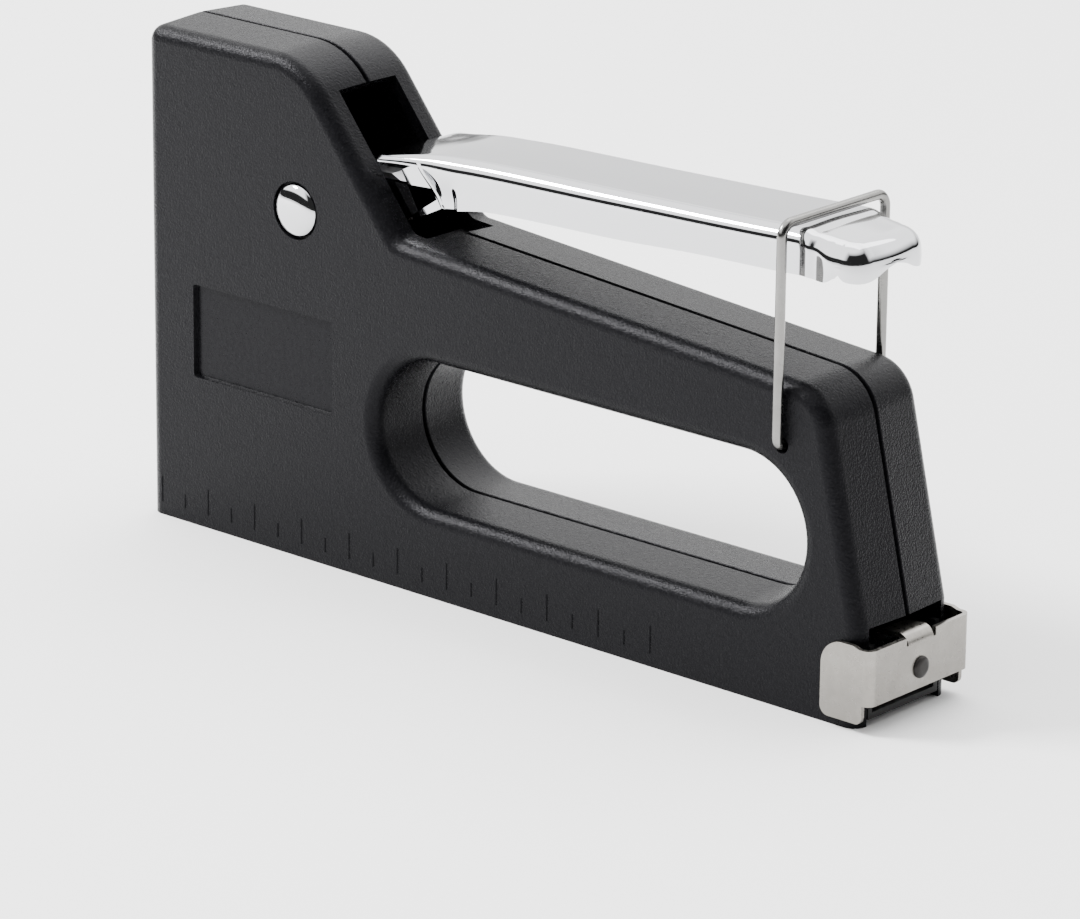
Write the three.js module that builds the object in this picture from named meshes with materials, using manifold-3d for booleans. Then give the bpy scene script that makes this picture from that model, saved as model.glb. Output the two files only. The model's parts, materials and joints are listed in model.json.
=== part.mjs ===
// A light-duty hand staple gun: two housing halves, a squeeze lever held down by a wire bail,
// a spring-driven striker in the head, and a magazine whose spring-fed pusher pulls out at the rear.
// Millimetres, +Z up. The pieces are laid out with X from the nose face to the rear, Y across with
// the seam at 0, and Z up from the base. The last lines put the origin under the middle of the whole.
import * as THREE from "three";
import { mergeVertices } from "three/addons/utils/BufferGeometryUtils.js";
import Module from "manifold-3d";

const wasm = await Module();
wasm.setup();

// Overall sizes
const bodyLength = 141.8;
const bodyHeight = 78.9;
const bodyWidth = 21.3;
const gap = 0.3; // running clearance between neighbouring pieces

// Housing outline
const gripFrontHeight = 54.7; // top of the grip where it meets the head
const gripRearHeight = 48.8; // top of the grip at its rear corner
const headTopLength = 33.1; // nose face to the corner above the slanted face
const headCornerRadius = 13;
const gripCornerX = 52.6; // foot of the slanted face
const gripCornerRadius = 2;
const rearLean = 7.9; // how far the rear wall leans forward up to the grip's rear corner
const rearCornerRadius = 7.5;
const noseCornerRadius = 3;
const rearFootHeight = 14.8; // height of the upright foot of the rear wall
const edgeRadius = 2.4;
const wall = 2.2;

// Hand hole
const holeFront = 48.7;
const holeRearMargin = 11.8;
const holeBottom = 14.1;
const holeRadius = 11;
const holeWall = 1.8;

// Magazine
const shelfThickness = 2;
const channelWall = 0.9;
const channelBottom = 1;
const channelSideMargin = 2.65; // outside of the housing to outside of the channel
const mouthStart = 4.8; // the rear mouth is cut this far into the housing
const stapleCrown = 10.6;
const staplePath = 0.9;
const railTop = 9.4;
const railHalfWidth = 4.6;
const railWall = 0.8;
const railRivetRadius = 1.2;
const railRivetFrontSetback = 6;
const railRivetRearSetback = 12;
const channelRearSetback = 0.4; // housing rear to the channel's end
const railRearSetback = 1.2;
const rodRadius = 1.1;
const rodHeight = 7.6;
const rodCollarRadius = 2.2;
const rodCollarLength = 3.2;
const rodSocketDepth = 2.4;
const rodStopWall = 1.2;
const rodStopLength = 1.2;
const pusherLength = 12;
const pusherBlockLength = 6;
const pusherWall = 0.7;
const pusherBlockDrop = 2.6; // below the rod's centre line
const pusherSpringRadius = 2.15;
const pusherSpringWire = 0.3;
const pusherSpringTurns = 18;

// End cap
const capSheet = 0.7;
const capPlateStand = 2.56; // housing rear to the outside of the cap's plate
const capEarLength = 8.9;
const capEarBottom = 1.5;
const capTop = 13.1;
const capPlateBottom = 4.4;
const capBendRadius = 1.4;
const capEarUpperRadius = 3.6;
const capEarLowerRadius = 1.4;
const capTabHalfWidth = 2.9;
const capTabLength = 5.4;
const capRivetRadius = 1.65;
const capRivetProud = 0.6;
const capRivetShankRadius = 0.8;

// Lever
const pivotX = 32;
const pivotRise = 0.3; // pivot above the front of the grip
const leverHalfWidth = 9;
const leverSheet = 1.2;
const leverArmHalfWidth = 5.5;
const leverEyeRadius = 6.2;
const leverDepth = 6.6; // from the lever's top to the lower edge of its sides
const leverFrontGap = 3.1; // slanted face to the lever's front edge, along X
const leverFrontDrop = 4.4;
const leverNoseLength = 11.4; // past the bail
const leverNoseRadius = 4;
const leverNoseRound = 0.9; // height of the bevel above the nose's end face
const leverNoseDepth = 3.6; // from the top down to the nose's lower edge
const leverNoseLip = 0.6; // the top stops this far short of the end face
const leverArchLength = 24; // the part of the top that bows down to the front edge
const leverArchDrop = 1.95; // top at the arch's rear end, below the top at the bail
const leverMiddleDrop = 0.8; // top midway between the arch and the bail, likewise
const leverSkirtSetback = 13; // front edge to where the sides reach their full depth
const leverSkirtDip = 0.6; // the sides reach this much lower there
const leverFlareLength = 5.8; // the arms widen to the full width over this length
const leverFlareOverlap = 0.4;
const leverCornerCut = 1.2;
const slotHalfWidth = 6.2;
const slotTopDistance = 6.4; // along the slanted face, from the corner above it
const slotRearReach = 4.5;

// Pivot rivet
const pivotShankRadius = 3;
const pivotHeadRadius = 4.15;
const pivotHeadHeight = 1.9;
const pivotStudRadius = 1.4;
const pivotRecessDepth = 0.9;
const bushingWall = 0.9;

// Striker and main spring
const guideSheet = 0.9;
const bladeThickness = 0.9;
const bladeBottom = 10.8;
const bladeTop = 44;
const hammerSlab = 3.1;
const hammerBottom = 30;
const hammerSeatTop = 51;
const hammerSeatThickness = 4;
const hammerSeatLength = 11;
const mainSpringRadius = 4.4;
const mainSpringWire = 0.8;
const mainSpringTurns = 6;
const springPlugThickness = 2.2;
const liftArmHalfWidth = 1.6;
const liftEyeWall = 2.2;
const liftArmDrop = 3.8; // lowest point of the arm, below its eye
const liftPinReach = 12.5; // pivot to the pin that fixes the lift arm, along X
const liftPinRise = 3.4;
const liftPinRadius = 1.3;
const liftTipRadius = 1.7;
const liftTipReach = 21; // pivot to the centre of the lift arm's tip, along X
const bumperHeight = 5;
const bumperLength = 8;
const strikerRivetRadius = 1.4;
const rivetHeadMargin = 1; // head radius less shank radius
const rivetHeadHeight = 0.9;
const hammerPostHeight = 4;
const springPlugMargin = 1.6; // plug radius less the main spring's
const springPlugStub = 3;
const guideBottom = 0.6;

// Return spring on the pivot
const returnSpringWire = 0.4;
const returnSpringTurns = 1.75;
const returnSpringLeg = 7;

// Bail
const bailSetback = 15.2; // housing rear to the bail's pivot
const bailPivotDrop = 9.5; // below the grip at its rear corner
const bailHeight = 32.4;
const bailWireRadius = 0.75;
const bailSideGap = 0.2; // wire to the housing's side
const bailBarBend = 2;
const bailFootBend = 1.2;
const bailFootDepth = 2.7;
const bailBoreClearance = 0.5;

// Screws
const screwShankRadius = 1.3;
const screwHeadRadius = 2.9;
const screwHeadHeight = 2;
const screwHeadRecess = 0.9;
const screwPointDepth = 6;
const bossWall = 1.1;
const screwRecessWidth = 0.8;
const screwRecessDepth = 1;

// Recessed panel on each side of the head
const panelFront = 10.5;
const panelLength = 28.8;
const panelBottom = 24.4;
const panelHeight = 14.4;
const panelDepth = 0.8;

// Places worked out from the sizes
const halfWidth = bodyWidth / 2;
const innerHalf = halfWidth - wall;
const holeRear = bodyLength - holeRearMargin;
const holeTop = holeBottom + 2 * holeRadius;
const holeCentreZ = holeBottom + holeRadius;
const bayTop = holeBottom - holeWall;
const shelfTop = bayTop + shelfThickness;
const gripRearX = bodyLength - rearLean;
const gripSlope = (gripRearHeight - gripFrontHeight) / (gripRearX - gripCornerX);
const gripTopAt = (x) => gripFrontHeight + gripSlope * (x - gripCornerX);
const pivotZ = gripFrontHeight + pivotRise;
const bailX = bodyLength - bailSetback;
const bailPivotZ = gripRearHeight - bailPivotDrop;
const bailBarZ = bailPivotZ + bailHeight;
const leverRearTop = bailBarZ - bailWireRadius - gap;
const leverNoseX = bailX + leverNoseLength;
const slantRun = (gripCornerX - headTopLength) / (bodyHeight - gripFrontHeight);
const leverFrontTop = leverRearTop - leverFrontDrop;
const leverFrontX = gripCornerX - (leverFrontTop - gripFrontHeight) * slantRun + leverFrontGap;
const guideFront = wall + gap;
const bladeFront = guideFront + guideSheet + gap;
const bladeBack = bladeFront + bladeThickness;
const hammerFront = bladeBack + gap;
const seatBottom = hammerSeatTop - hammerSeatThickness;
const mainSpringX = hammerFront + hammerSeatLength / 2;
const plugTop = bodyHeight - wall - gap;
const plugBottom = plugTop - springPlugThickness;
const magazineFront = bladeBack + staplePath;
const channelHalf = halfWidth - channelSideMargin;
const channelFloorTop = channelBottom + channelWall;
const railBottom = channelFloorTop + gap;
const railFloorTop = railBottom + railWall;
const railInner = railHalfWidth - railWall;
const capOuterX = bodyLength + capPlateStand;
const capInnerX = capOuterX - capSheet;
const rodRear = capInnerX - gap;
const rodFront = magazineFront + 1;
const stopRear = rodFront + 2;
const pusherFront = stopRear + gap;
const pusherBlockRear = pusherFront + pusherBlockLength;
const liftTipX = pivotX - liftTipReach;
const liftTipZ = seatBottom - gap - liftTipRadius;
const liftPinX = pivotX + liftPinReach;
const liftPinZ = pivotZ + liftPinRise;
const bailLegY = halfWidth + bailSideGap + bailWireRadius;
const overallRear = capOuterX + capRivetProud;

// ---- Outlines ----------------------------------------------------------------------------------

const ARC_STEP = Math.PI / 11;

// A closed outline through corners [a, b, radius] listed anticlockwise, moved inwards by inset.
function roundedOutline(corners, inset = 0) {
  const count = corners.length;
  const points = [];
  for (let i = 0; i < count; i += 1) {
    const before = new THREE.Vector2(...corners[(i + count - 1) % count]);
    const corner = new THREE.Vector2(...corners[i]);
    const after = new THREE.Vector2(...corners[(i + 1) % count]);
    const along = corner.clone().sub(before).normalize();
    const onward = after.clone().sub(corner).normalize();
    const normals = new THREE.Vector2(-along.y - onward.y, along.x + onward.x);
    const moved = corner.addScaledVector(normals, inset / (1 + along.dot(onward)));
    const turn = Math.atan2(along.cross(onward), along.dot(onward));
    const radius = (corners[i][2] || 0) - Math.sign(turn) * inset;
    if (!corners[i][2] || radius < 0.1) {
      points.push(moved);
      continue;
    }
    const tangent = radius * Math.tan(Math.abs(turn) / 2);
    const start = moved.clone().addScaledVector(along, -tangent);
    const side = Math.sign(turn) * radius;
    const centre = start.clone().add(new THREE.Vector2(-along.y * side, along.x * side));
    const steps = Math.max(2, Math.ceil(Math.abs(turn) / ARC_STEP));
    for (let k = 0; k <= steps; k += 1) {
      const swept = start.clone().rotateAround(centre, (turn * k) / steps);
      points.push(swept);
    }
  }
  return points;
}

// The corners of the body seen from the side. The base can be carried lower, to be cut off flat.
const bodyCornersFrom = (base) => [
  [0, base, 0],
  [bodyLength, base, 0],
  [bodyLength, rearFootHeight, 0],
  [gripRearX, gripRearHeight, rearCornerRadius],
  [gripCornerX, gripFrontHeight, gripCornerRadius],
  [headTopLength, bodyHeight, headCornerRadius],
  [0, bodyHeight, noseCornerRadius],
];

// The hand hole's stadium, made larger by grow.
function handHole(grow) {
  const reach = holeRadius + grow;
  return roundedOutline([
    [holeFront - grow, holeBottom - grow, reach - 0.01],
    [holeRear + grow, holeBottom - grow, reach - 0.01],
    [holeRear + grow, holeTop + grow, reach - 0.01],
    [holeFront - grow, holeTop + grow, reach - 0.01],
  ]);
}

// A point of the slanted face, at a distance down from its upper corner and a depth into the body.
function slantPoint(distance, depth) {
  const down = new THREE.Vector2(gripCornerX - headTopLength, gripFrontHeight - bodyHeight).normalize();
  const inwards = new THREE.Vector2(down.y, -down.x);
  const top = new THREE.Vector2(headTopLength, bodyHeight);
  return top.addScaledVector(down, distance).addScaledVector(inwards, depth);
}
const slantLength = Math.hypot(gripCornerX - headTopLength, bodyHeight - gripFrontHeight);

// ---- Solids ------------------------------------------------------------------------------------

const axisX = new THREE.Vector3(1, 0, 0);
const axisY = new THREE.Vector3(0, 1, 0);
const axisZ = new THREE.Vector3(0, 0, 1);

// Outline planes: side holds (x, z), plan holds (x, y) and cross holds (y, z).
const planes = {
  side: new THREE.Matrix4().makeBasis(axisX, axisZ, axisY.clone().negate()),
  plan: new THREE.Matrix4(),
  cross: new THREE.Matrix4().makeBasis(axisY, axisZ, axisX),
};

function toSolid(geometry) {
  const source = geometry.index ? geometry.toNonIndexed() : geometry;
  const bare = new THREE.BufferGeometry();
  bare.setAttribute("position", source.getAttribute("position"));
  const merged = mergeVertices(bare, 1e-4);
  const vertProperties = new Float32Array(merged.attributes.position.array);
  const triVerts = new Uint32Array(merged.index.array);
  return new wasm.Manifold(new wasm.Mesh({ numProp: 3, vertProperties, triVerts }));
}

function toPoints(outline) {
  return outline.map((p) => (Array.isArray(p) ? new THREE.Vector2(p[0], p[1]) : p));
}

// An outline in one of the planes, filled between two places on the axis across that plane.
function prism(plane, outline, from, to) {
  const shape = new THREE.Shape(toPoints(outline));
  const geometry = new THREE.ExtrudeGeometry(shape, { depth: to - from, bevelEnabled: false });
  geometry.applyMatrix4(planes[plane]);
  if (plane === "side") geometry.translate(0, to, 0);
  if (plane === "plan") geometry.translate(0, 0, from);
  if (plane === "cross") geometry.translate(from, 0, 0);
  return toSolid(geometry);
}

function box(x0, x1, y0, y1, z0, z1) {
  const geometry = new THREE.BoxGeometry(x1 - x0, y1 - y0, z1 - z0);
  geometry.translate((x0 + x1) / 2, (y0 + y1) / 2, (z0 + z1) / 2);
  return toSolid(geometry);
}

// A cylinder across the tool, about the line at (x, z).
function crossCylinder(x, z, radius, y0, y1, sides = 24) {
  const geometry = new THREE.CylinderGeometry(radius, radius, y1 - y0, sides);
  geometry.translate(x, (y0 + y1) / 2, z);
  return toSolid(geometry);
}

// A cylinder along the tool, about the line at (y, z).
function longCylinder(y, z, radius, x0, x1, sides = 16) {
  const geometry = new THREE.CylinderGeometry(radius, radius, x1 - x0, sides);
  geometry.rotateZ(-Math.PI / 2);
  geometry.translate((x0 + x1) / 2, y, z);
  return toSolid(geometry);
}

function uprightCylinder(x, y, radius, z0, z1, sides = 16) {
  const geometry = new THREE.CylinderGeometry(radius, radius, z1 - z0, sides);
  geometry.rotateX(Math.PI / 2);
  geometry.translate(x, y, (z0 + z1) / 2);
  return toSolid(geometry);
}

// A domed button of the given radius and height: its flat side at the origin, rising along +Y.
function domeGeometry(radius, height, sides = 24) {
  const rim = height * 0.3;
  const profile = [new THREE.Vector2(0, 0), new THREE.Vector2(radius, 0)];
  for (let k = 0; k <= 4; k += 1) {
    const angle = (k / 4) * (Math.PI / 2);
    const x = k === 4 ? 0 : radius * Math.cos(angle);
    profile.push(new THREE.Vector2(x, rim + (height - rim) * Math.sin(angle)));
  }
  return new THREE.LatheGeometry(profile, sides);
}

const join = (first, ...others) => others.reduce((made, other) => made.add(other), first);
const cut = (first, ...others) => others.reduce((made, other) => made.subtract(other), first);

// A route that a wire follows, sampled at exactly its own points.
class Route extends THREE.Curve {
  constructor(points) {
    super();
    this.points = points;
  }
  getPoint(t) {
    const last = this.points.length - 1;
    const place = Math.min(Math.max(t, 0), 1) * last;
    const index = Math.min(Math.floor(place), last - 1);
    return this.points[index].clone().lerp(this.points[index + 1], place - index);
  }
  getPointAt(u) {
    return this.getPoint(u);
  }
  getTangentAt(u) {
    return this.getTangent(u);
  }
}

function wire(points, radius, sides) {
  const ring = new THREE.Shape();
  for (let k = 0; k < sides; k += 1) {
    const angle = (k / sides) * 2 * Math.PI;
    const x = radius * Math.cos(angle);
    const y = radius * Math.sin(angle);
    if (k === 0) ring.moveTo(x, y);
    else ring.lineTo(x, y);
  }
  const extrudePath = new Route(points);
  const settings = { steps: points.length - 1, bevelEnabled: false, extrudePath };
  return toSolid(new THREE.ExtrudeGeometry(ring, settings));
}

// Points of a coil about the +Z axis at the origin.
function coilPoints(radius, length, turns, stepsPerTurn) {
  const steps = Math.round(turns * stepsPerTurn);
  return Array.from({ length: steps + 1 }, (_, k) => {
    const angle = (k / stepsPerTurn) * 2 * Math.PI;
    return new THREE.Vector3(radius * Math.cos(angle), radius * Math.sin(angle), (length * k) / steps);
  });
}

// ---- Materials ---------------------------------------------------------------------------------

const finish = (color, roughness, metalness) => ({ color, roughness, metalness });
const blackPlastic = finish(0x2c2b2e, 0.55, 0);
const chrome = finish(0xe6e6ea, 0.08, 1);
const nickel = finish(0xc9c4bb, 0.3, 1);
const springSteel = finish(0x8d8f93, 0.3, 1);
const blackSteel = finish(0x1c1c1e, 0.4, 0.6);
const hardSteel = finish(0xa0a2a6, 0.35, 1);
const rubber = finish(0x151515, 0.9, 0);

const stapleGun = new THREE.Group();

function addPiece(name, solid, look) {
  const made = solid.getMesh();
  const geometry = new THREE.BufferGeometry();
  const positions = new Float32Array(made.numVert * 3);
  for (let i = 0; i < made.numVert; i += 1) {
    for (let k = 0; k < 3; k += 1) positions[i * 3 + k] = made.vertProperties[i * made.numProp + k];
  }
  geometry.setAttribute("position", new THREE.BufferAttribute(positions, 3));
  geometry.setIndex(new THREE.BufferAttribute(new Uint32Array(made.triVerts), 1));
  geometry.computeVertexNormals();
  const mesh = new THREE.Mesh(geometry, new THREE.MeshStandardMaterial(look));
  mesh.name = name;
  stapleGun.add(mesh);
}

// ---- Housing -----------------------------------------------------------------------------------

// The fourth screw sits in the middle of the grip.
const gripMiddleX = (holeFront + holeRear) / 2;
const gripMiddleZ = (holeTop + holeWall + gripTopAt(gripMiddleX) - wall) / 2;
const screwPlaces = [
  [22, bodyHeight - 9],
  [holeFront - 14.7, panelBottom - 6.2],
  [holeFront - 5.2, holeTop + 7.4],
  [gripMiddleX, gripMiddleZ],
  [bodyLength - 7.2, holeCentreZ - 3],
];

// The whole body, filled, with the hand hole and its rounded edges, standing on a flat base.
function bodyBlock() {
  const shape = new THREE.Shape(roundedOutline(bodyCornersFrom(-2 * edgeRadius)));
  shape.holes.push(new THREE.Path(handHole(0)));
  const geometry = new THREE.ExtrudeGeometry(shape, {
    depth: bodyWidth - 2 * edgeRadius,
    bevelThickness: edgeRadius,
    bevelSize: edgeRadius,
    bevelOffset: -edgeRadius,
    bevelSegments: 3,
  });
  geometry.applyMatrix4(planes.side);
  geometry.translate(0, halfWidth - edgeRadius, 0);
  const belowBase = box(-1, bodyLength + 1, -bodyWidth, bodyWidth, -3 * edgeRadius, 0);
  return cut(toSolid(geometry), belowBase);
}

// Everything that is open inside the housing, before the bosses are left standing in it.
function hollow() {
  const upper = prism("side", roundedOutline(bodyCornersFrom(0), wall), -innerHalf, innerHalf);
  const belowShelf = box(-1, bodyLength + 5, -halfWidth, halfWidth, -1, shelfTop);
  const ring = prism("side", handHole(holeWall), -halfWidth, halfWidth);
  const bay = box(wall, bodyLength + 5, -channelHalf - gap, channelHalf + gap, -1, bayTop);
  const strikerShaftRear = hammerFront + hammerSeatLength + 1;
  const shaft = box(wall, strikerShaftRear, -channelHalf, channelHalf, bayTop - 1, shelfTop + 1);
  const mouth = box(bodyLength - mouthStart, bodyLength + 5, -channelHalf - gap, channelHalf + gap,
    -1, rearFootHeight);
  return join(cut(upper, belowShelf, ring), bay, shaft, mouth);
}

function leverSlot() {
  const outline = [
    slantPoint(slotTopDistance, -6),
    slantPoint(slotTopDistance, wall + 1),
    slantPoint(slantLength - 1, wall + 1),
    new THREE.Vector2(gripCornerX + slotRearReach, gripTopAt(gripCornerX + slotRearReach) - wall - 1),
    new THREE.Vector2(gripCornerX + slotRearReach, gripFrontHeight + 6),
  ];
  return prism("side", outline, -slotHalfWidth, slotHalfWidth);
}

// One half of the housing: side is -1 for the left (-Y) half and +1 for the right (+Y) half.
function housingHalf(block, open, slot, side) {
  const span = (near, far) => (side > 0 ? [near, far] : [-far, -near]);
  const seam = gap / 2;
  const boss = (x, z, radius, from) => crossCylinder(x, z, radius, ...span(from, halfWidth - 1));
  const screwBossRadius = screwHeadRadius + gap + bossWall;
  const armClear = leverArmHalfWidth + 2 * gap;
  const bosses = [
    ...screwPlaces.map(([x, z]) => boss(x, z, screwBossRadius, seam)),
    boss(pivotX, pivotZ, pivotShankRadius + gap + bossWall + 1, armClear),
    boss(bailX, bailPivotZ, bailWireRadius + bailBoreClearance + bossWall, innerHalf - 2),
  ];
  const shell = cut(block, cut(open, ...bosses), slot);
  const half = shell.intersect(box(-1, bodyLength + 5, ...span(seam, halfWidth + 1), -1, bodyHeight + 1));
  const holes = [
    crossCylinder(pivotX, pivotZ, pivotShankRadius + gap, ...span(0, halfWidth + 1)),
    crossCylinder(pivotX, pivotZ, pivotHeadRadius + gap,
      ...span(halfWidth - pivotRecessDepth, halfWidth + 1)),
    crossCylinder(bailX, bailPivotZ, bailWireRadius + bailBoreClearance,
      ...span(innerHalf - 3, halfWidth + 1), 16),
    box(panelFront, panelFront + panelLength, ...span(halfWidth - panelDepth, halfWidth + 1),
      panelBottom, panelBottom + panelHeight),
  ];
  const headBottom = halfWidth - screwHeadRecess - screwHeadHeight - gap;
  for (const [x, z] of screwPlaces) {
    const pilotRadius = screwShankRadius + gap;
    if (side > 0) {
      holes.push(crossCylinder(x, z, pilotRadius, 0, halfWidth, 16));
      holes.push(crossCylinder(x, z, screwHeadRadius + gap, headBottom, halfWidth + 1));
    } else {
      holes.push(crossCylinder(x, z, pilotRadius, -screwPointDepth - gap, 0, 16));
    }
  }
  return cut(half, ...holes);
}

function addHousing() {
  const block = bodyBlock();
  const open = hollow();
  const slot = leverSlot();
  addPiece("left_housing", housingHalf(block, open, slot, -1), blackPlastic);
  addPiece("right_housing", housingHalf(block, open, slot, 1), blackPlastic);
}

function addScrews() {
  const headTop = halfWidth - screwHeadRecess;
  const headBottom = headTop - screwHeadHeight;
  screwPlaces.forEach(([x, z], index) => {
    const head = crossCylinder(x, z, screwHeadRadius, headBottom, headTop);
    const shank = crossCylinder(x, z, screwShankRadius, -screwPointDepth, headBottom + 0.5, 12);
    const reach = screwHeadRadius * 0.6;
    const half = screwRecessWidth / 2;
    const floor = headTop - screwRecessDepth;
    const slots = [
      box(x - reach, x + reach, floor, headTop + 1, z - half, z + half),
      box(x - half, x + half, floor, headTop + 1, z - reach, z + reach),
    ];
    addPiece(`housing_screw_${index + 1}`, cut(join(head, shank), ...slots), springSteel);
  });
}

// ---- Lever and what turns with it --------------------------------------------------------------

// The top of the lever, from its front edge to its nose: an arch that runs into a straight, gently
// rising stretch, then an arc about the bail's pivot so that the bail can swing past the nose.
function leverTopPoints() {
  const archEnd = leverFrontX + leverArchLength;
  const archEndZ = leverRearTop - leverArchDrop;
  const archFall = leverFrontDrop - leverArchDrop;
  const points = [];
  for (let k = 0; k <= 6; k += 1) {
    const t = k / 6;
    points.push([leverFrontX + leverArchLength * t, archEndZ - archFall * (1 - t) ** 2.2]);
  }
  points.push([archEnd + (bailX - archEnd) / 2, leverRearTop - leverMiddleDrop]);
  const swingRadius = leverRearTop - bailPivotZ;
  const noseAngle = Math.asin((leverNoseLength - leverNoseLip) / swingRadius);
  for (let k = 0; k <= 4; k += 1) {
    const angle = (noseAngle * k) / 4;
    points.push([bailX + swingRadius * Math.sin(angle), bailPivotZ + swingRadius * Math.cos(angle)]);
  }
  return points;
}

function leverTopAt(points, x) {
  const index = points.findIndex((point) => point[0] >= x);
  if (index <= 0) return points[index === 0 ? 0 : points.length - 1][1];
  const [x0, z0] = points[index - 1];
  const [x1, z1] = points[index];
  return z0 + ((z1 - z0) * (x - x0)) / (x1 - x0);
}

function addLever() {
  const top = leverTopPoints();
  const [endX, endZ] = top[top.length - 1];
  const sideBottom = (x) => leverTopAt(top, x) - leverDepth;
  const noseTop = endZ - leverNoseRound;
  const noseBottom = endZ - leverNoseDepth;
  const skirtX = leverFrontX + leverSkirtSetback;
  const sideFront = skirtX + 22;
  const sideRear = bailX - 20;
  // The lower edge runs forwards along the sides, then down along the arms to their eyes.
  const silhouette = [
    ...top,
    [leverNoseX, noseTop],
    [leverNoseX, noseBottom],
    [bailX + leverNoseRadius, sideBottom(bailX)],
    [sideRear, sideBottom(sideRear)],
    [sideFront, sideBottom(sideFront)],
    [skirtX, sideBottom(skirtX) - leverSkirtDip],
    [skirtX - 12, pivotZ - 0.5],
    [pivotX + 3, pivotZ - leverEyeRadius + 0.8],
  ];
  const eyeStart = -Math.PI / 2 + 0.3;
  for (let k = 0; k <= 7; k += 1) {
    const angle = eyeStart - (k / 7) * 3.2;
    silhouette.push([pivotX + leverEyeRadius * Math.cos(angle), pivotZ + leverEyeRadius * Math.sin(angle)]);
  }
  silhouette.push([leverFrontX - 2, leverTopAt(top, leverFrontX) - 1.5]);
  silhouette.reverse();

  // Half of the plan: the arms are narrow, flare out past the slanted face and close at the nose.
  const planHalf = (inset) => [
    [pivotX - leverEyeRadius - 2, leverArmHalfWidth - inset],
    [skirtX + leverFlareOverlap - leverFlareLength, leverArmHalfWidth - inset],
    [skirtX + leverFlareOverlap, leverHalfWidth - inset],
    [leverNoseX - leverNoseRadius, leverHalfWidth - inset],
    [leverNoseX - leverNoseRadius * 0.3 - inset, leverHalfWidth - leverNoseRadius * 0.3],
    [leverNoseX - inset, leverHalfWidth - leverNoseRadius],
  ];
  const planOutline = (inset) => {
    const upper = planHalf(inset);
    const lower = upper.map(([x, y]) => [x, -y]);
    return [...lower, ...upper.reverse()];
  };
  const low = pivotZ - 3 * leverEyeRadius;
  const high = bailBarZ + 5;
  const walls = cut(
    prism("plan", planOutline(0), low, high),
    prism("plan", planOutline(leverSheet), low - 1, high + 1),
    box(0, pivotX - leverEyeRadius, -leverHalfWidth, leverHalfWidth, low, high),
  );
  const sides = walls.intersect(prism("side", silhouette, -leverHalfWidth - 1, leverHalfWidth + 1));

  const skin = top.map(([x, z]) => [x, z - leverSheet]);
  const skinOutline = [
    ...skin,
    [leverNoseX, noseTop - leverSheet],
    [leverNoseX, noseTop],
    ...top.slice().reverse(),
  ];
  const topPlan = [
    [leverFrontX, -leverHalfWidth + leverCornerCut],
    [leverFrontX + leverCornerCut, -leverHalfWidth],
    ...planHalf(0).slice(3).map(([x, y]) => [x, -y]),
    ...planHalf(0).slice(3).reverse(),
    [leverFrontX + leverCornerCut, leverHalfWidth],
    [leverFrontX, leverHalfWidth - leverCornerCut],
  ];
  const plate = prism("side", skinOutline, -leverHalfWidth - 1, leverHalfWidth + 1)
    .intersect(prism("plan", topPlan, low, high));
  const bore = crossCylinder(pivotX, pivotZ, pivotShankRadius + gap, -leverHalfWidth, leverHalfWidth);
  const pinHole = crossCylinder(liftPinX, liftPinZ, liftPinRadius + gap, -leverHalfWidth,
    leverHalfWidth, 16);
  addPiece("lever_handle", cut(join(sides, plate), bore, pinHole), chrome);
}

// The hardened arm between the lever's sides: it lifts the hammer as the lever is squeezed.
function addLiftArm() {
  const eye = pivotShankRadius + gap + liftEyeWall;
  const outline = [
    [liftTipX, liftTipZ - liftTipRadius],
    [pivotX - 7, pivotZ - eye - liftArmDrop],
    [pivotX + 2, pivotZ - eye],
    [liftPinX + 1.5, liftPinZ - 2.8],
    [liftPinX + 3, liftPinZ + 1],
    [liftPinX - 1, liftPinZ + 2.8],
    [pivotX, pivotZ + eye],
    [pivotX - eye + 1, pivotZ + eye - 2.4],
    [pivotX - 8, pivotZ - 2.5],
    [hammerFront + hammerSeatLength + 1.6, seatBottom - gap],
    [liftTipX, liftTipZ + liftTipRadius],
  ];
  const arm = prism("side", outline, -liftArmHalfWidth, liftArmHalfWidth);
  const tip = crossCylinder(liftTipX, liftTipZ, liftTipRadius, -liftArmHalfWidth, liftArmHalfWidth, 16);
  const bore = crossCylinder(pivotX, pivotZ, pivotShankRadius + gap, -5, 5);
  const pinHole = crossCylinder(liftPinX, liftPinZ, liftPinRadius + gap, -5, 5, 16);
  addPiece("lift_arm", cut(join(arm, tip), bore, pinHole), hardSteel);

  const pin = crossCylinder(liftPinX, liftPinZ, liftPinRadius, -leverArmHalfWidth, leverArmHalfWidth, 16);
  addPiece("lift_arm_pin", pin, springSteel);
}

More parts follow.
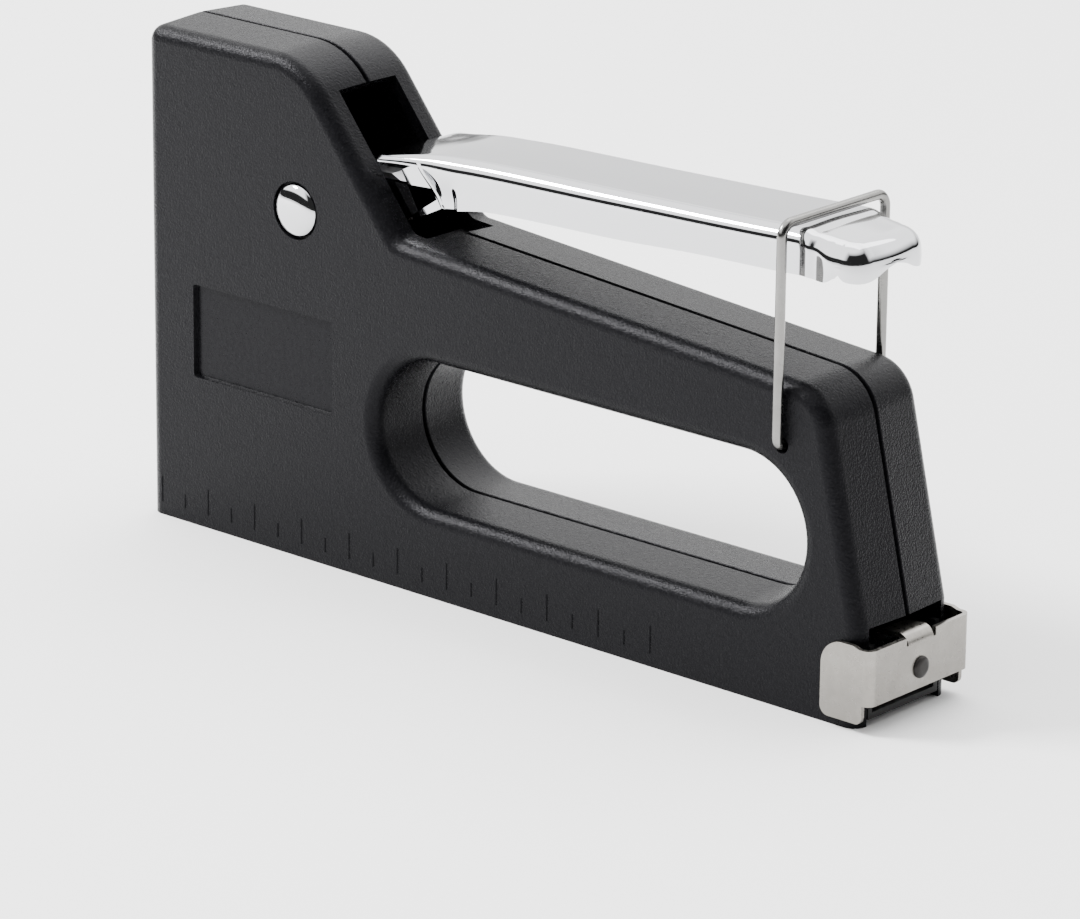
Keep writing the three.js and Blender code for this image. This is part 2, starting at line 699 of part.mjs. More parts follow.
function addPivot() {
  const inner = pivotShankRadius + gap;
  const armInner = leverArmHalfWidth - leverSheet - gap;
  const sleeve = (y0, y1) => cut(
    crossCylinder(pivotX, pivotZ, inner + bushingWall, y0, y1),
    crossCylinder(pivotX, pivotZ, inner, y0 - 1, y1 + 1),
  );
  addPiece("left_pivot_bushing", sleeve(-armInner, -liftArmHalfWidth - gap), hardSteel);
  addPiece("right_pivot_bushing", sleeve(liftArmHalfWidth + gap, armInner), hardSteel);

  const seat = halfWidth - pivotRecessDepth + gap;
  const socketDepth = 6;
  const shankEnd = seat - 1.5;
  const leftHead = domeGeometry(pivotHeadRadius, pivotHeadHeight);
  leftHead.rotateX(Math.PI);
  leftHead.translate(pivotX, -seat, pivotZ);
  const shank = crossCylinder(pivotX, pivotZ, pivotShankRadius, -seat - 0.2, shankEnd);
  const socket = crossCylinder(pivotX, pivotZ, pivotStudRadius + gap, shankEnd - socketDepth,
    shankEnd + 1, 16);
  addPiece("pivot_rivet", cut(join(toSolid(leftHead), shank), socket), chrome);

  const rightHead = domeGeometry(pivotHeadRadius, pivotHeadHeight);
  rightHead.translate(pivotX, seat, pivotZ);
  const stud = crossCylinder(pivotX, pivotZ, pivotStudRadius, shankEnd - socketDepth + 1, seat + 0.2, 16);
  addPiece("pivot_rivet_cap", join(toSolid(rightHead), stud), chrome);
}

// A torsion spring round the right bushing: one leg lies along the lever, the other along the head.
function addReturnSpring() {
  const radius = pivotShankRadius + gap + bushingWall + gap + returnSpringWire;
  const from = liftArmHalfWidth + gap + returnSpringWire;
  const to = leverArmHalfWidth - leverSheet - gap - returnSpringWire;
  const startAngle = 0.5;
  const steps = 20;
  const coil = Array.from({ length: steps + 1 }, (_, k) => {
    const t = k / steps;
    const angle = startAngle + returnSpringTurns * 2 * Math.PI * t;
    return new THREE.Vector3(
      pivotX + radius * Math.cos(angle),
      from + (to - from) * t,
      pivotZ + radius * Math.sin(angle),
    );
  });
  const leg = (index, towards, length) => {
    const start = coil[index];
    const outward = new THREE.Vector3(start.x - pivotX, 0, start.z - pivotZ).normalize();
    const tangent = new THREE.Vector3(outward.z, 0, -outward.x).multiplyScalar(towards);
    return start.clone().addScaledVector(tangent, length).addScaledVector(outward, 0.4);
  };
  const points = [leg(0, 1, returnSpringLeg), ...coil, leg(steps, -1, returnSpringLeg)];
  addPiece("lever_return_spring", wire(points, returnSpringWire, 6), springSteel);
}

// ---- Striker -----------------------------------------------------------------------------------

function addStriker() {
  const plateHalf = channelHalf - gap;
  addPiece("front_guide_plate", box(guideFront, guideFront + guideSheet, -plateHalf, plateHalf,
    guideBottom, bladeTop), hardSteel);

  const bladeHalf = stapleCrown / 2;
  const rivetZ = (hammerBottom + seatBottom) / 2;
  const blade = box(bladeFront, bladeBack, -bladeHalf, bladeHalf, bladeBottom, bladeTop);
  const bladeHole = longCylinder(0, rivetZ, strikerRivetRadius + gap, bladeFront - 1, bladeBack + 1);
  addPiece("striker_blade", cut(blade, bladeHole), hardSteel);

  const slabBack = hammerFront + hammerSlab;
  const hammerHalf = bladeHalf - gap;
  const slab = box(hammerFront, slabBack, -hammerHalf, hammerHalf, hammerBottom, hammerSeatTop - 1);
  const seat = box(hammerFront, hammerFront + hammerSeatLength, -hammerHalf, hammerHalf,
    seatBottom, hammerSeatTop);
  const postRadius = mainSpringRadius - mainSpringWire - 2 * gap;
  const post = uprightCylinder(mainSpringX, 0, postRadius, hammerSeatTop - 1,
    hammerSeatTop + hammerPostHeight);
  const rivetHole = longCylinder(0, rivetZ, strikerRivetRadius + gap, hammerFront - 1, slabBack + 1);
  addPiece("hammer_block", cut(join(slab, seat, post), rivetHole), hardSteel);

  const rivet = join(
    longCylinder(0, rivetZ, strikerRivetRadius, bladeFront + 0.2, slabBack + gap + rivetHeadHeight / 2),
    longCylinder(0, rivetZ, strikerRivetRadius + rivetHeadMargin, slabBack + gap,
      slabBack + gap + rivetHeadHeight),
  );
  addPiece("striker_rivet", rivet, springSteel);

  const springBottom = hammerSeatTop + gap + mainSpringWire;
  const springTop = plugBottom - gap - mainSpringWire;
  const coil = coilPoints(mainSpringRadius, springTop - springBottom, mainSpringTurns, 12);
  coil.forEach((point) => point.add(new THREE.Vector3(mainSpringX, 0, springBottom)));
  addPiece("main_spring", wire(coil, mainSpringWire, 6), springSteel);

  const plug = join(
    uprightCylinder(mainSpringX, 0, mainSpringRadius + springPlugMargin, plugBottom, plugTop, 20),
    uprightCylinder(mainSpringX, 0, postRadius, plugBottom - springPlugStub, plugBottom + 1),
  );
  addPiece("spring_plug", plug, blackPlastic);

  const bumper = box(hammerFront + gap, hammerFront + gap + bumperLength, -hammerHalf, hammerHalf,
    shelfTop + gap, shelfTop + gap + bumperHeight);
  addPiece("rubber_bumper", bumper, rubber);
}

// ---- Magazine ----------------------------------------------------------------------------------

function uSection(half, thickness, bottom, top) {
  return [
    [-half, bottom],
    [half, bottom],
    [half, top],
    [half - thickness, top],
    [half - thickness, bottom + thickness],
    [-half + thickness, bottom + thickness],
    [-half + thickness, top],
    [-half, top],
  ];
}

function addMagazine() {
  const rivetPlaces = [magazineFront + railRivetFrontSetback, bodyLength - railRivetRearSetback];
  const channel = prism("cross", uSection(channelHalf, channelWall, channelBottom, bayTop - gap),
    magazineFront, bodyLength - channelRearSetback);
  const rail = prism("cross", uSection(railHalfWidth, railWall, railBottom, railTop), magazineFront,
    bodyLength - railRearSetback);
  const holes = rivetPlaces.map((x) => uprightCylinder(x, 0, railRivetRadius + gap, 0, railFloorTop + 1, 12));
  addPiece("magazine_channel", cut(channel, ...holes), blackSteel);
  addPiece("staple_rail", cut(rail, ...holes), springSteel);
  rivetPlaces.forEach((x, index) => {
    const shank = uprightCylinder(x, 0, railRivetRadius, channelBottom - 0.4, railFloorTop + 0.8, 12);
    const head = uprightCylinder(x, 0, railRivetRadius + 0.8, railFloorTop + gap, railFloorTop + 0.9, 12);
    addPiece(`rail_rivet_${index + 1}`, join(shank, head), springSteel);
  });
}

function addFollower() {
  const rod = longCylinder(0, rodHeight, rodRadius, rodFront, rodRear - 1);
  const collar = longCylinder(0, rodHeight, rodCollarRadius, rodRear - rodCollarLength, rodRear);
  const socket = longCylinder(0, rodHeight, capRivetShankRadius + gap, rodRear - rodSocketDepth,
    rodRear + 1, 12);
  addPiece("follower_rod", cut(join(rod, collar), socket), springSteel);

  const stopOuter = longCylinder(0, rodHeight, rodRadius + rodStopWall, stopRear - rodStopLength, stopRear);
  const stopBore = longCylinder(0, rodHeight, rodRadius + gap / 2, rodFront, stopRear + 1);
  const stopMouth = box(rodFront, stopRear + 1, -0.6, 0.6, rodHeight, rodHeight + 5);
  addPiece("rod_stop_clip", cut(stopOuter, stopBore, stopMouth), springSteel);

  const springTop = rodHeight + pusherSpringRadius + pusherSpringWire;
  const topZ = Math.max(railTop, springTop) + gap;
  const legInner = railHalfWidth + gap;
  const shoe = cut(
    box(pusherFront, pusherFront + pusherLength, -legInner - pusherWall, legInner + pusherWall,
      railFloorTop + gap, topZ + pusherWall),
    box(pusherFront - 1, pusherFront + pusherLength + 1, -legInner, legInner, 0, topZ),
  );
  const blockHalf = railInner - gap;
  const block = box(pusherFront, pusherBlockRear, -blockHalf, blockHalf, rodHeight - pusherBlockDrop,
    topZ + pusherWall / 2);
  const bore = longCylinder(0, rodHeight, rodRadius + gap, pusherFront - 1, pusherBlockRear + 1);
  addPiece("pusher", cut(join(shoe, block), bore), springSteel);

  const springStart = pusherBlockRear + gap + pusherSpringWire;
  const springEnd = rodRear - rodCollarLength - gap - pusherSpringWire;
  const coil = coilPoints(pusherSpringRadius, springEnd - springStart, pusherSpringTurns, 8);
  const placed = coil.map((p) => new THREE.Vector3(springStart + p.z, p.x, rodHeight + p.y));
  addPiece("pusher_spring", wire(placed, pusherSpringWire, 4), springSteel);
}

// The stamped cap that closes the magazine: a plate across the rear, an ear along each side of the
// housing, and a finger tab bent forwards from the plate's top.
function addEndCap() {
  const inner = halfWidth + gap;
  const outer = inner + capSheet;
  const earFront = capOuterX - capEarLength;
  const band = (half, rear, radius) => roundedOutline([
    [earFront - 4, -half, 0],
    [rear, -half, radius],
    [rear, half, radius],
    [earFront - 4, half, 0],
  ]);
  const sheet = cut(
    prism("plan", band(outer, capOuterX, capBendRadius), 0, capTop),
    prism("plan", band(inner, capInnerX, capBendRadius - capSheet), -1, capTop + 1),
  );
  const bendStart = capOuterX - capBendRadius;
  const sideView = prism("side", roundedOutline([
    [earFront, capEarBottom, capEarLowerRadius],
    [bendStart, capEarBottom, capEarLowerRadius],
    [bendStart, capPlateBottom, 0],
    [capOuterX + 1, capPlateBottom, 0],
    [capOuterX + 1, capTop, 0],
    [earFront, capTop, capEarUpperRadius],
  ]), -outer - 1, outer + 1);
  const tab = box(capOuterX - capTabLength, capInnerX + 0.2, -capTabHalfWidth, capTabHalfWidth,
    capTop - capSheet, capTop);
  const hole = longCylinder(0, rodHeight, capRivetRadius + gap, capInnerX - 1, capOuterX + 1);
  addPiece("end_cap", cut(join(sheet.intersect(sideView), tab), hole), nickel);

  const head = domeGeometry(capRivetRadius, capSheet + capRivetProud, 16);
  head.rotateZ(-Math.PI / 2);
  head.translate(capInnerX, 0, rodHeight);
  const shank = longCylinder(0, rodHeight, capRivetShankRadius, rodRear - 2, capInnerX + 0.3, 12);
  addPiece("cap_rivet", join(toSolid(head), shank), blackSteel);
}

// ---- Bail --------------------------------------------------------------------------------------

function addBail() {
  const quarter = Math.PI / 2;
  // A quarter bend that starts or ends on the upright leg, about a centre at height z.
  const bend = (z, radius, fromAngle) => Array.from({ length: 5 }, (_, k) => {
    const angle = fromAngle + (quarter * k) / 4;
    const y = bailLegY - radius + radius * Math.cos(angle);
    return new THREE.Vector3(bailX, y, z + radius * Math.sin(angle));
  });
  const half = [
    new THREE.Vector3(bailX, halfWidth - bailFootDepth, bailPivotZ),
    ...bend(bailPivotZ + bailFootBend, bailFootBend, -quarter),
    ...bend(bailBarZ - bailBarBend, bailBarBend, 0),
  ];
  const mirrored = half.map((p) => new THREE.Vector3(p.x, -p.y, p.z)).reverse();
  addPiece("lock_bail", wire([...half, ...mirrored], bailWireRadius, 8), nickel);
}

addHousing();
addScrews();
addLever();
addLiftArm();
addPivot();
addReturnSpring();
addStriker();
addMagazine();
addFollower();
addEndCap();
addBail();

stapleGun.position.x = -overallRear / 2;

export default stapleGun;
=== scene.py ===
"""A light-duty hand staple gun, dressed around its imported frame.

Sizes are in millimetres in the tool's own layout: x from the nose face to the rear, y across with
the seam at 0, z up from the base. place() turns them into the frame's metres.
"""
import math

import bpy
import bmesh
from mathutils import Matrix, Vector
from mathutils.geometry import tessellate_polygon
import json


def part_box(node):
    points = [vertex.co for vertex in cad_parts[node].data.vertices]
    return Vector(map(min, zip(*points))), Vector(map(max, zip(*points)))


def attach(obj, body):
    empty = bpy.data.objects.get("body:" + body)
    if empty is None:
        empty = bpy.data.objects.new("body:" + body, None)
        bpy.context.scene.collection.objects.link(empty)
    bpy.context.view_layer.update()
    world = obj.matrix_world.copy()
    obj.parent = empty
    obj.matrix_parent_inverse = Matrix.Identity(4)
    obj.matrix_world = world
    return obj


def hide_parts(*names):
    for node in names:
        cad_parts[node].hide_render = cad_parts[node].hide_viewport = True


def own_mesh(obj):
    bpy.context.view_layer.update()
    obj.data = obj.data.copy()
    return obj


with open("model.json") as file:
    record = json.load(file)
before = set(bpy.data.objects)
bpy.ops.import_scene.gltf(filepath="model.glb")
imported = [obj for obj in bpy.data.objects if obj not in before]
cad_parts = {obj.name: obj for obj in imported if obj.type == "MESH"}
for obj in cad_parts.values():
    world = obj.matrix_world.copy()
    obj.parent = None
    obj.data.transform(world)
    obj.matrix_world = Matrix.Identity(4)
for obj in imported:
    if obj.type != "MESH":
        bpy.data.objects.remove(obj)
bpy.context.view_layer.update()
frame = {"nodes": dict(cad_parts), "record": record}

MM = 0.001
HOUSING_LOW, HOUSING_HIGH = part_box("left_housing")
NOSE_X = HOUSING_LOW.x
BODY_LENGTH = (HOUSING_HIGH.x - HOUSING_LOW.x) / MM
BODY_HEIGHT = HOUSING_HIGH.z / MM
HALF_WIDTH = -HOUSING_LOW.y / MM


def place(x, y, z):
    """A point of the tool's own layout, in the frame's metres."""
    return Vector((NOSE_X + x * MM, y * MM, z * MM))


def node_box(node):
    """A CAD node's lowest and highest corners, in the tool's own layout."""
    low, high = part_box(node)
    shift = Vector((NOSE_X, 0, 0))
    return (low - shift) / MM, (high - shift) / MM


# ---- Sizes of the housing, as the frame has them -----------------------------------------------

GRIP_FRONT_HEIGHT = 54.7
GRIP_REAR_HEIGHT = 48.8
HEAD_TOP_LENGTH = 33.1
HEAD_CORNER_RADIUS = 13.0
GRIP_CORNER_X = 52.6
GRIP_CORNER_RADIUS = 2.0
REAR_LEAN = 7.9
REAR_CORNER_RADIUS = 7.5
REAR_FOOT_HEIGHT = 14.8
NOSE_TOP_RADIUS = 3.0
EDGE_RADIUS = 2.4
WALL = 2.2
SEAM = 0.27
SEAM_DEPTH = 0.8
DRAFT = 0.42
HOLE_FRONT = 48.7
HOLE_REAR = BODY_LENGTH - 11.8
HOLE_BOTTOM = 14.1
HOLE_RADIUS = 11.0
HOLE_WALL = 1.8
BAY_TOP = HOLE_BOTTOM - HOLE_WALL
SHELF_TOP = BAY_TOP + 2.0
BAY_HALF = HALF_WIDTH - 2.35
INNER_HALF = HALF_WIDTH - WALL
LEAN_INSET = 0.6
SLANT_INSET = 1.1
PIVOT = (32.0, GRIP_FRONT_HEIGHT + 0.3)
PIVOT_RECESS_RADIUS = 4.5
PIVOT_RECESS_DEPTH = 0.9
PIVOT_BORE_RADIUS = 3.3
BAIL = (BODY_LENGTH - 15.2, GRIP_REAR_HEIGHT - 9.5)
SLOT_HALF = 6.2
SLOT_TOP_DISTANCE = 6.4
SLOT_FOOT_DISTANCE = 30.0
SLOT_REAR_REACH = 4.5
PANEL = (10.5, 24.4, 28.8, 14.4)
PANEL_DEPTH = 0.8
PANEL_FLARE = 0.55
PANEL_CORNER = 0.5
SCREW_BOSS_RADIUS = 4.3
SCREW_PILOT_RADIUS = 1.6
SCREW_PILOT_DEPTH = 6.3
SCREW_WELL_RADIUS = 3.2
SCREW_WELL_DEPTH = 3.2
PIVOT_BOSS_RADIUS = 5.4
PIVOT_BOSS_START = 6.1
BAIL_BOSS_RADIUS = 2.35
BAIL_BOSS_START = 6.45
BAIL_BORE_RADIUS = 1.25
BAIL_BORE_START = 5.0
STRIKER_SHAFT_REAR = 16.9
MOUTH_LENGTH = 4.8
SCREW_NODES = [f"housing_screw_{number}" for number in range(1, 6)]


# ---- Outlines ----------------------------------------------------------------------------------

def turn_left(v):
    return Vector((-v.y, v.x))


def rounded_outline(corners, inset=0.0, step_degrees=6.0):
    """A closed outline through corners (a, b, radius) listed anticlockwise, moved inwards by inset."""
    points = []
    count = len(corners)
    for i, (a, b, corner_radius) in enumerate(corners):
        corner = Vector((a, b))
        along = (corner - Vector(corners[i - 1][:2])).normalized()
        onward = (Vector(corners[(i + 1) % count][:2]) - corner).normalized()
        normals = turn_left(along) + turn_left(onward)
        moved = corner + normals * (inset / (1 + along.dot(onward)))
        turn = math.atan2(along.cross(onward), along.dot(onward))
        radius = corner_radius - math.copysign(inset, turn) if corner_radius else 0.0
        steps = max(3, math.ceil(math.degrees(abs(turn)) / step_degrees))
        if corner_radius == 0.0:
            points.append(moved)
            continue
        radius = max(radius, 0.05)
        start = moved - along * (radius * math.tan(abs(turn) / 2))
        side = math.copysign(radius, turn)
        centre = start + turn_left(along) * side
        arm = start - centre
        for k in range(steps + 1):
            angle = turn * k / steps
            cosine, sine = math.cos(angle), math.sin(angle)
            points.append(centre + Vector((arm.x * cosine - arm.y * sine, arm.x * sine + arm.y * cosine)))
    return points


def body_outline(inset, base):
    """The housing's outline seen from the side, moved inwards by inset and drawn down to base."""
    return rounded_outline([
        (0, base, 0.0),
        (BODY_LENGTH, base, 0.0),
        (BODY_LENGTH, REAR_FOOT_HEIGHT, 0.6),
        (BODY_LENGTH - REAR_LEAN, GRIP_REAR_HEIGHT, REAR_CORNER_RADIUS),
        (GRIP_CORNER_X, GRIP_FRONT_HEIGHT, GRIP_CORNER_RADIUS),
        (HEAD_TOP_LENGTH, BODY_HEIGHT, HEAD_CORNER_RADIUS),
        (0, BODY_HEIGHT, NOSE_TOP_RADIUS),
    ], inset)


def hand_hole(grow):
    top = HOLE_BOTTOM + 2 * HOLE_RADIUS
    radius = HOLE_RADIUS + grow - 0.01
    return rounded_outline([
        (HOLE_FRONT - grow, HOLE_BOTTOM - grow, radius),
        (HOLE_REAR + grow, HOLE_BOTTOM - grow, radius),
        (HOLE_REAR + grow, top + grow, radius),
        (HOLE_FRONT - grow, top + grow, radius),
    ], 0.0, 5.0)


def circle(a, b, radius, sides=48):
    return [Vector((a + radius * math.cos(2 * math.pi * k / sides),
                    b + radius * math.sin(2 * math.pi * k / sides))) for k in range(sides)]


def slant_point(distance, depth):
    """A point below the slanted face: a distance down from its upper corner and a depth into the body."""
    top = Vector((HEAD_TOP_LENGTH, BODY_HEIGHT))
    down = (Vector((GRIP_CORNER_X, GRIP_FRONT_HEIGHT)) - top).normalized()
    return top + down * distance + Vector((down.y, -down.x)) * depth


def grip_top_at(x):
    slope = (GRIP_REAR_HEIGHT - GRIP_FRONT_HEIGHT) / (BODY_LENGTH - REAR_LEAN - GRIP_CORNER_X)
    return GRIP_FRONT_HEIGHT + slope * (x - GRIP_CORNER_X)


# ---- Mesh making -------------------------------------------------------------------------------

def new_object(name, mesh):
    obj = bpy.data.objects.new(name, mesh)
    bpy.context.scene.collection.objects.link(obj)
    return obj


def mesh_from(name, points, faces):
    """An object from points of the tool's own layout, with its faces turned outwards."""
    mesh = bpy.data.meshes.new(name)
    mesh.from_pydata([place(*p) for p in points], [], faces)
    work = bmesh.new()
    work.from_mesh(mesh)
    bmesh.ops.remove_doubles(work, verts=work.verts, dist=1e-7)
    bmesh.ops.recalc_face_normals(work, faces=work.faces)
    work.to_mesh(mesh)
    work.free()
    return new_object(name, mesh)


def loft(name, rings, holes=None):
    """A solid through rings of equal point count. holes, if given, are rings of a hole through it."""
    points, faces = [], []

    def add_tube(tube):
        start = len(points)
        count = len(tube[0])
        for ring in tube:
            points.extend(ring)
        for i in range(len(tube) - 1):
            for k in range(count):
                a = start + i * count + k
                b = start + i * count + (k + 1) % count
                faces.append((a, b, b + count, a + count))
        return start, start + (len(tube) - 1) * count, count

    outer = add_tube(rings)
    inner = add_tube(holes) if holes else None
    for end in (0, 1):
        loops = [[points[outer[end] + k] for k in range(outer[2])]]
        indexes = [outer[end] + k for k in range(outer[2])]
        if inner:
            loops.append([points[inner[end] + k] for k in range(inner[2])])
            indexes += [inner[end] + k for k in range(inner[2])]
            for tri in tessellate_polygon([[Vector(p) for p in loop] for loop in loops]):
                faces.append(tuple(indexes[i] for i in tri))
        else:
            faces.append(tuple(indexes))
    return mesh_from(name, points, faces)


def side_prism(name, outline, y0, y1):
    rings = [[(p[0], y, p[1]) for p in outline] for y in (y0, y1)]
    return loft(name, rings)


def block(name, x0, x1, y0, y1, z0, z1):
    return side_prism(name, [(x0, z0), (x1, z0), (x1, z1), (x0, z1)], y0, y1)


def cross_cylinder(name, x, z, radius, y0, y1, sides=48):
    return side_prism(name, circle(x, z, radius, sides), y0, y1)


def discard(obj):
    mesh = obj.data
    bpy.data.objects.remove(obj)
    bpy.data.meshes.remove(mesh)


def apply_modifiers(obj):
    bpy.context.view_layer.update()
    evaluated = obj.evaluated_get(bpy.context.evaluated_depsgraph_get())
    mesh = bpy.data.meshes.new_from_object(evaluated)
    old = obj.data
    obj.modifiers.clear()
    obj.data = mesh
    bpy.data.meshes.remove(old)


def boolean(obj, operation, *tools):
    for tool in tools:
        modifier = obj.modifiers.new("boolean", "BOOLEAN")
        modifier.operation = operation
        modifier.solver = "EXACT"
        modifier.object = tool
        apply_modifiers(obj)
        discard(tool)
    return obj


def cut(obj, *tools):
    return boolean(obj, "DIFFERENCE", *tools)


def join(obj, *tools):
    return boolean(obj, "UNION", *tools)


def smooth(obj, angle=35.0, weighted=True):
    """Smooth shading, with edges sharper than the angle left hard and flat faces kept flat."""
    work = bmesh.new()
    work.from_mesh(obj.data)
    bmesh.ops.remove_doubles(work, verts=work.verts, dist=2e-6)
    bmesh.ops.dissolve_degenerate(work, dist=2e-6, edges=work.edges)
    work.to_mesh(obj.data)
    work.free()
    for polygon in obj.data.polygons:
        polygon.use_smooth = True
    obj.data.set_sharp_from_angle(angle=math.radians(angle))
    if weighted:
        modifier = obj.modifiers.new("weighted normals", "WEIGHTED_NORMAL")
        modifier.mode = "FACE_AREA"
        modifier.weight = 100
        modifier.keep_sharp = True
        apply_modifiers(obj)
    return obj


# ---- Materials ---------------------------------------------------------------------------------

def new_material(name, color, roughness, metallic):
    material = bpy.data.materials.new(name)
    material.use_nodes = True
    shader = material.node_tree.nodes["Principled BSDF"]
    shader.inputs["Base Color"].default_value = (*color, 1)
    shader.inputs["Roughness"].default_value = roughness
    shader.inputs["Metallic"].default_value = metallic
    return material, material.node_tree, shader


def noise(tree, scale, detail=2.0, rough=0.5, stretch=None):
    """A noise texture in the object's own coordinates, in metres times scale."""
    coordinates = tree.nodes.new("ShaderNodeTexCoord")
    texture = tree.nodes.new("ShaderNodeTexNoise")
    texture.inputs["Scale"].default_value = scale
    texture.inputs["Detail"].default_value = detail
    texture.inputs["Roughness"].default_value = rough
    source = coordinates.outputs["Object"]
    if stretch:
        mapping = tree.nodes.new("ShaderNodeMapping")
        mapping.inputs["Scale"].default_value = stretch
        tree.links.new(source, mapping.inputs["Vector"])
        source = mapping.outputs["Vector"]
    tree.links.new(source, texture.inputs["Vector"])
    return texture.outputs["Fac"]


def remap(tree, value, low, high, to_low, to_high):
    node = tree.nodes.new("ShaderNodeMapRange")
    node.inputs["From Min"].default_value = low
    node.inputs["From Max"].default_value = high
    node.inputs["To Min"].default_value = to_low
    node.inputs["To Max"].default_value = to_high
    tree.links.new(value, node.inputs["Value"])
    return node.outputs["Result"]


def bump(tree, height, strength, distance, previous=None):
    node = tree.nodes.new("ShaderNodeBump")
    node.inputs["Strength"].default_value = strength
    node.inputs["Distance"].default_value = distance
    tree.links.new(height, node.inputs["Height"])
    if previous:
        tree.links.new(previous, node.inputs["Normal"])
    return node.outputs["Normal"]


def color_between(tree, value, first, second):
    ramp = tree.nodes.new("ShaderNodeValToRGB")
    ramp.color_ramp.elements[0].color = (*first, 1)
    ramp.color_ramp.elements[1].color = (*second, 1)
    ramp.color_ramp.elements[0].position = 0.35
    ramp.color_ramp.elements[1].position = 0.65
    tree.links.new(value, ramp.inputs["Fac"])
    return ramp.outputs["Color"]


def outside_panel(tree):
    """1 on the grained faces and 0 over the label panel, whose floor is left smooth."""
    x, z, length, height = PANEL
    centre = place(x + length / 2, 0, z + height / 2)
    coordinates = tree.nodes.new("ShaderNodeTexCoord")
    parts = tree.nodes.new("ShaderNodeSeparateXYZ")
    tree.links.new(coordinates.outputs["Object"], parts.inputs["Vector"])
    shares = []
    for axis, middle, half in (("X", centre.x, length / 2 * MM), ("Z", centre.z, height / 2 * MM)):
        distance = remap(tree, parts.outputs[axis], middle - 1, middle + 1, -1, 1)
        size = tree.nodes.new("ShaderNodeMath")
        size.operation = "ABSOLUTE"
        tree.links.new(distance, size.inputs[0])
        shares.append(remap(tree, size.outputs["Value"], half, half + 0.3 * MM, 0.12, 1.0))
    larger = tree.nodes.new("ShaderNodeMath")
    larger.operation = "MAXIMUM"
    for share, socket in zip(shares, larger.inputs):
        tree.links.new(share, socket)
    return larger.outputs["Value"]


GRAIN_STRENGTH = 0.55


def black_plastic():
    """Black ABS with a spark-eroded grain: fine round bumps over a slower unevenness.

    The grain's strength is driven by the label panel's mask, so the panel's floor stays smooth.
    """
    material, tree, shader = new_material("black_plastic", (0.004, 0.004, 0.0045), 0.42, 0.0)
    shader.inputs["Specular IOR Level"].default_value = 0.078
    shader.inputs["Specular Tint"].default_value = (0.95, 0.94, 1.0, 1)
    grained = outside_panel(tree)
    grain = noise(tree, 3000, 3.0, 0.6)
    swell = noise(tree, 1100, 2.0, 0.5)
    normal = bump(tree, swell, 0.14, 0.00025)
    normal = bump(tree, grain, GRAIN_STRENGTH, 0.0002, normal)
    strength = remap(tree, grained, 0.0, 1.0, 0.0, GRAIN_STRENGTH)
    tree.links.new(strength, normal.node.inputs["Strength"])
    tree.links.new(normal, shader.inputs["Normal"])
    tint = color_between(tree, noise(tree, 1800, 2.0), (0.003, 0.003, 0.0036), (0.005, 0.005, 0.0058))
    tree.links.new(tint, shader.inputs["Base Color"])
    tree.links.new(remap(tree, grain, 0.3, 0.7, 0.18, 0.31), shader.inputs["Roughness"])
    return material


def chrome():
    material, tree, shader = new_material("chrome", (0.55, 0.555, 0.57), 0.05, 1.0)
    normal = bump(tree, noise(tree, 90, 2.0), 0.06, 0.0004)
    tree.links.new(normal, shader.inputs["Normal"])
    gloss = remap(tree, noise(tree, 60, 4.0, 0.7), 0.3, 0.7, 0.035, 0.09)
    tree.links.new(gloss, shader.inputs["Roughness"])
    return material


def satin_metal(name, first, second, roughness, stretch=(1, 1, 1)):
    """Plated or bare steel: a fine drawn grain, with slow changes of tint and gloss."""
    material, tree, shader = new_material(name, first, roughness, 1.0)
    tint = color_between(tree, noise(tree, 130, 4.0, 0.6), first, second)
    tree.links.new(tint, shader.inputs["Base Color"])
    grain = noise(tree, 1500, 3.0, 0.6, stretch)
    low, high = roughness * 0.75, roughness * 1.3
    tree.links.new(remap(tree, grain, 0.3, 0.7, low, high), shader.inputs["Roughness"])
    tree.links.new(bump(tree, grain, 0.06, 0.00004), shader.inputs["Normal"])
    return material


def dark_coated(name, color, roughness, metallic):
    material, tree, shader = new_material(name, color, roughness, metallic)
    shader.inputs["Specular IOR Level"].default_value = 0.18
    grain = noise(tree, 1400, 3.0, 0.6)
    tree.links.new(bump(tree, grain, 0.2, 0.00008), shader.inputs["Normal"])
    gloss = remap(tree, grain, 0.3, 0.7, roughness * 0.8, roughness * 1.25)
    tree.links.new(gloss, shader.inputs["Roughness"])
    return material


PLASTIC = black_plastic()
CHROME = chrome()
NICKEL = satin_metal("nickel", (0.285, 0.272, 0.25), (0.235, 0.223, 0.205), 0.32)
WIRE = satin_metal("bail_nickel", (0.21, 0.207, 0.2), (0.17, 0.167, 0.16), 0.22)
SPRING_STEEL = satin_metal("spring_steel", (0.5, 0.5, 0.51), (0.42, 0.42, 0.43), 0.28)
TOOL_STEEL = satin_metal("tool_steel", (0.4, 0.4, 0.41), (0.3, 0.3, 0.31), 0.34)
BLACK_STEEL = dark_coated("black_steel", (0.012, 0.012, 0.012), 0.38, 0.0)
DARK_RIVET = dark_coated("dark_rivet", (0.02, 0.018, 0.017), 0.36, 0.3)
RUBBER = dark_coated("rubber", (0.015, 0.015, 0.015), 0.8, 0.0)
SLOT_MATERIALS = {
    "black_plastic": PLASTIC,
    "chrome": CHROME,
    "nickel": NICKEL,
    "spring_steel": SPRING_STEEL,
    "tool_steel": TOOL_STEEL,
    "black_steel": BLACK_STEEL,
    "rubber": RUBBER,
}


def finish_piece(obj, material, slot, body, *nodes):
    """Gives a new piece its material, and sets it on its body in place of CAD nodes. The slot argument is
    not used.
    """
    obj.data.materials.clear()
    obj.data.materials.append(material)
    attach(obj, body)
    if nodes:
        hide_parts(*nodes)
    return obj


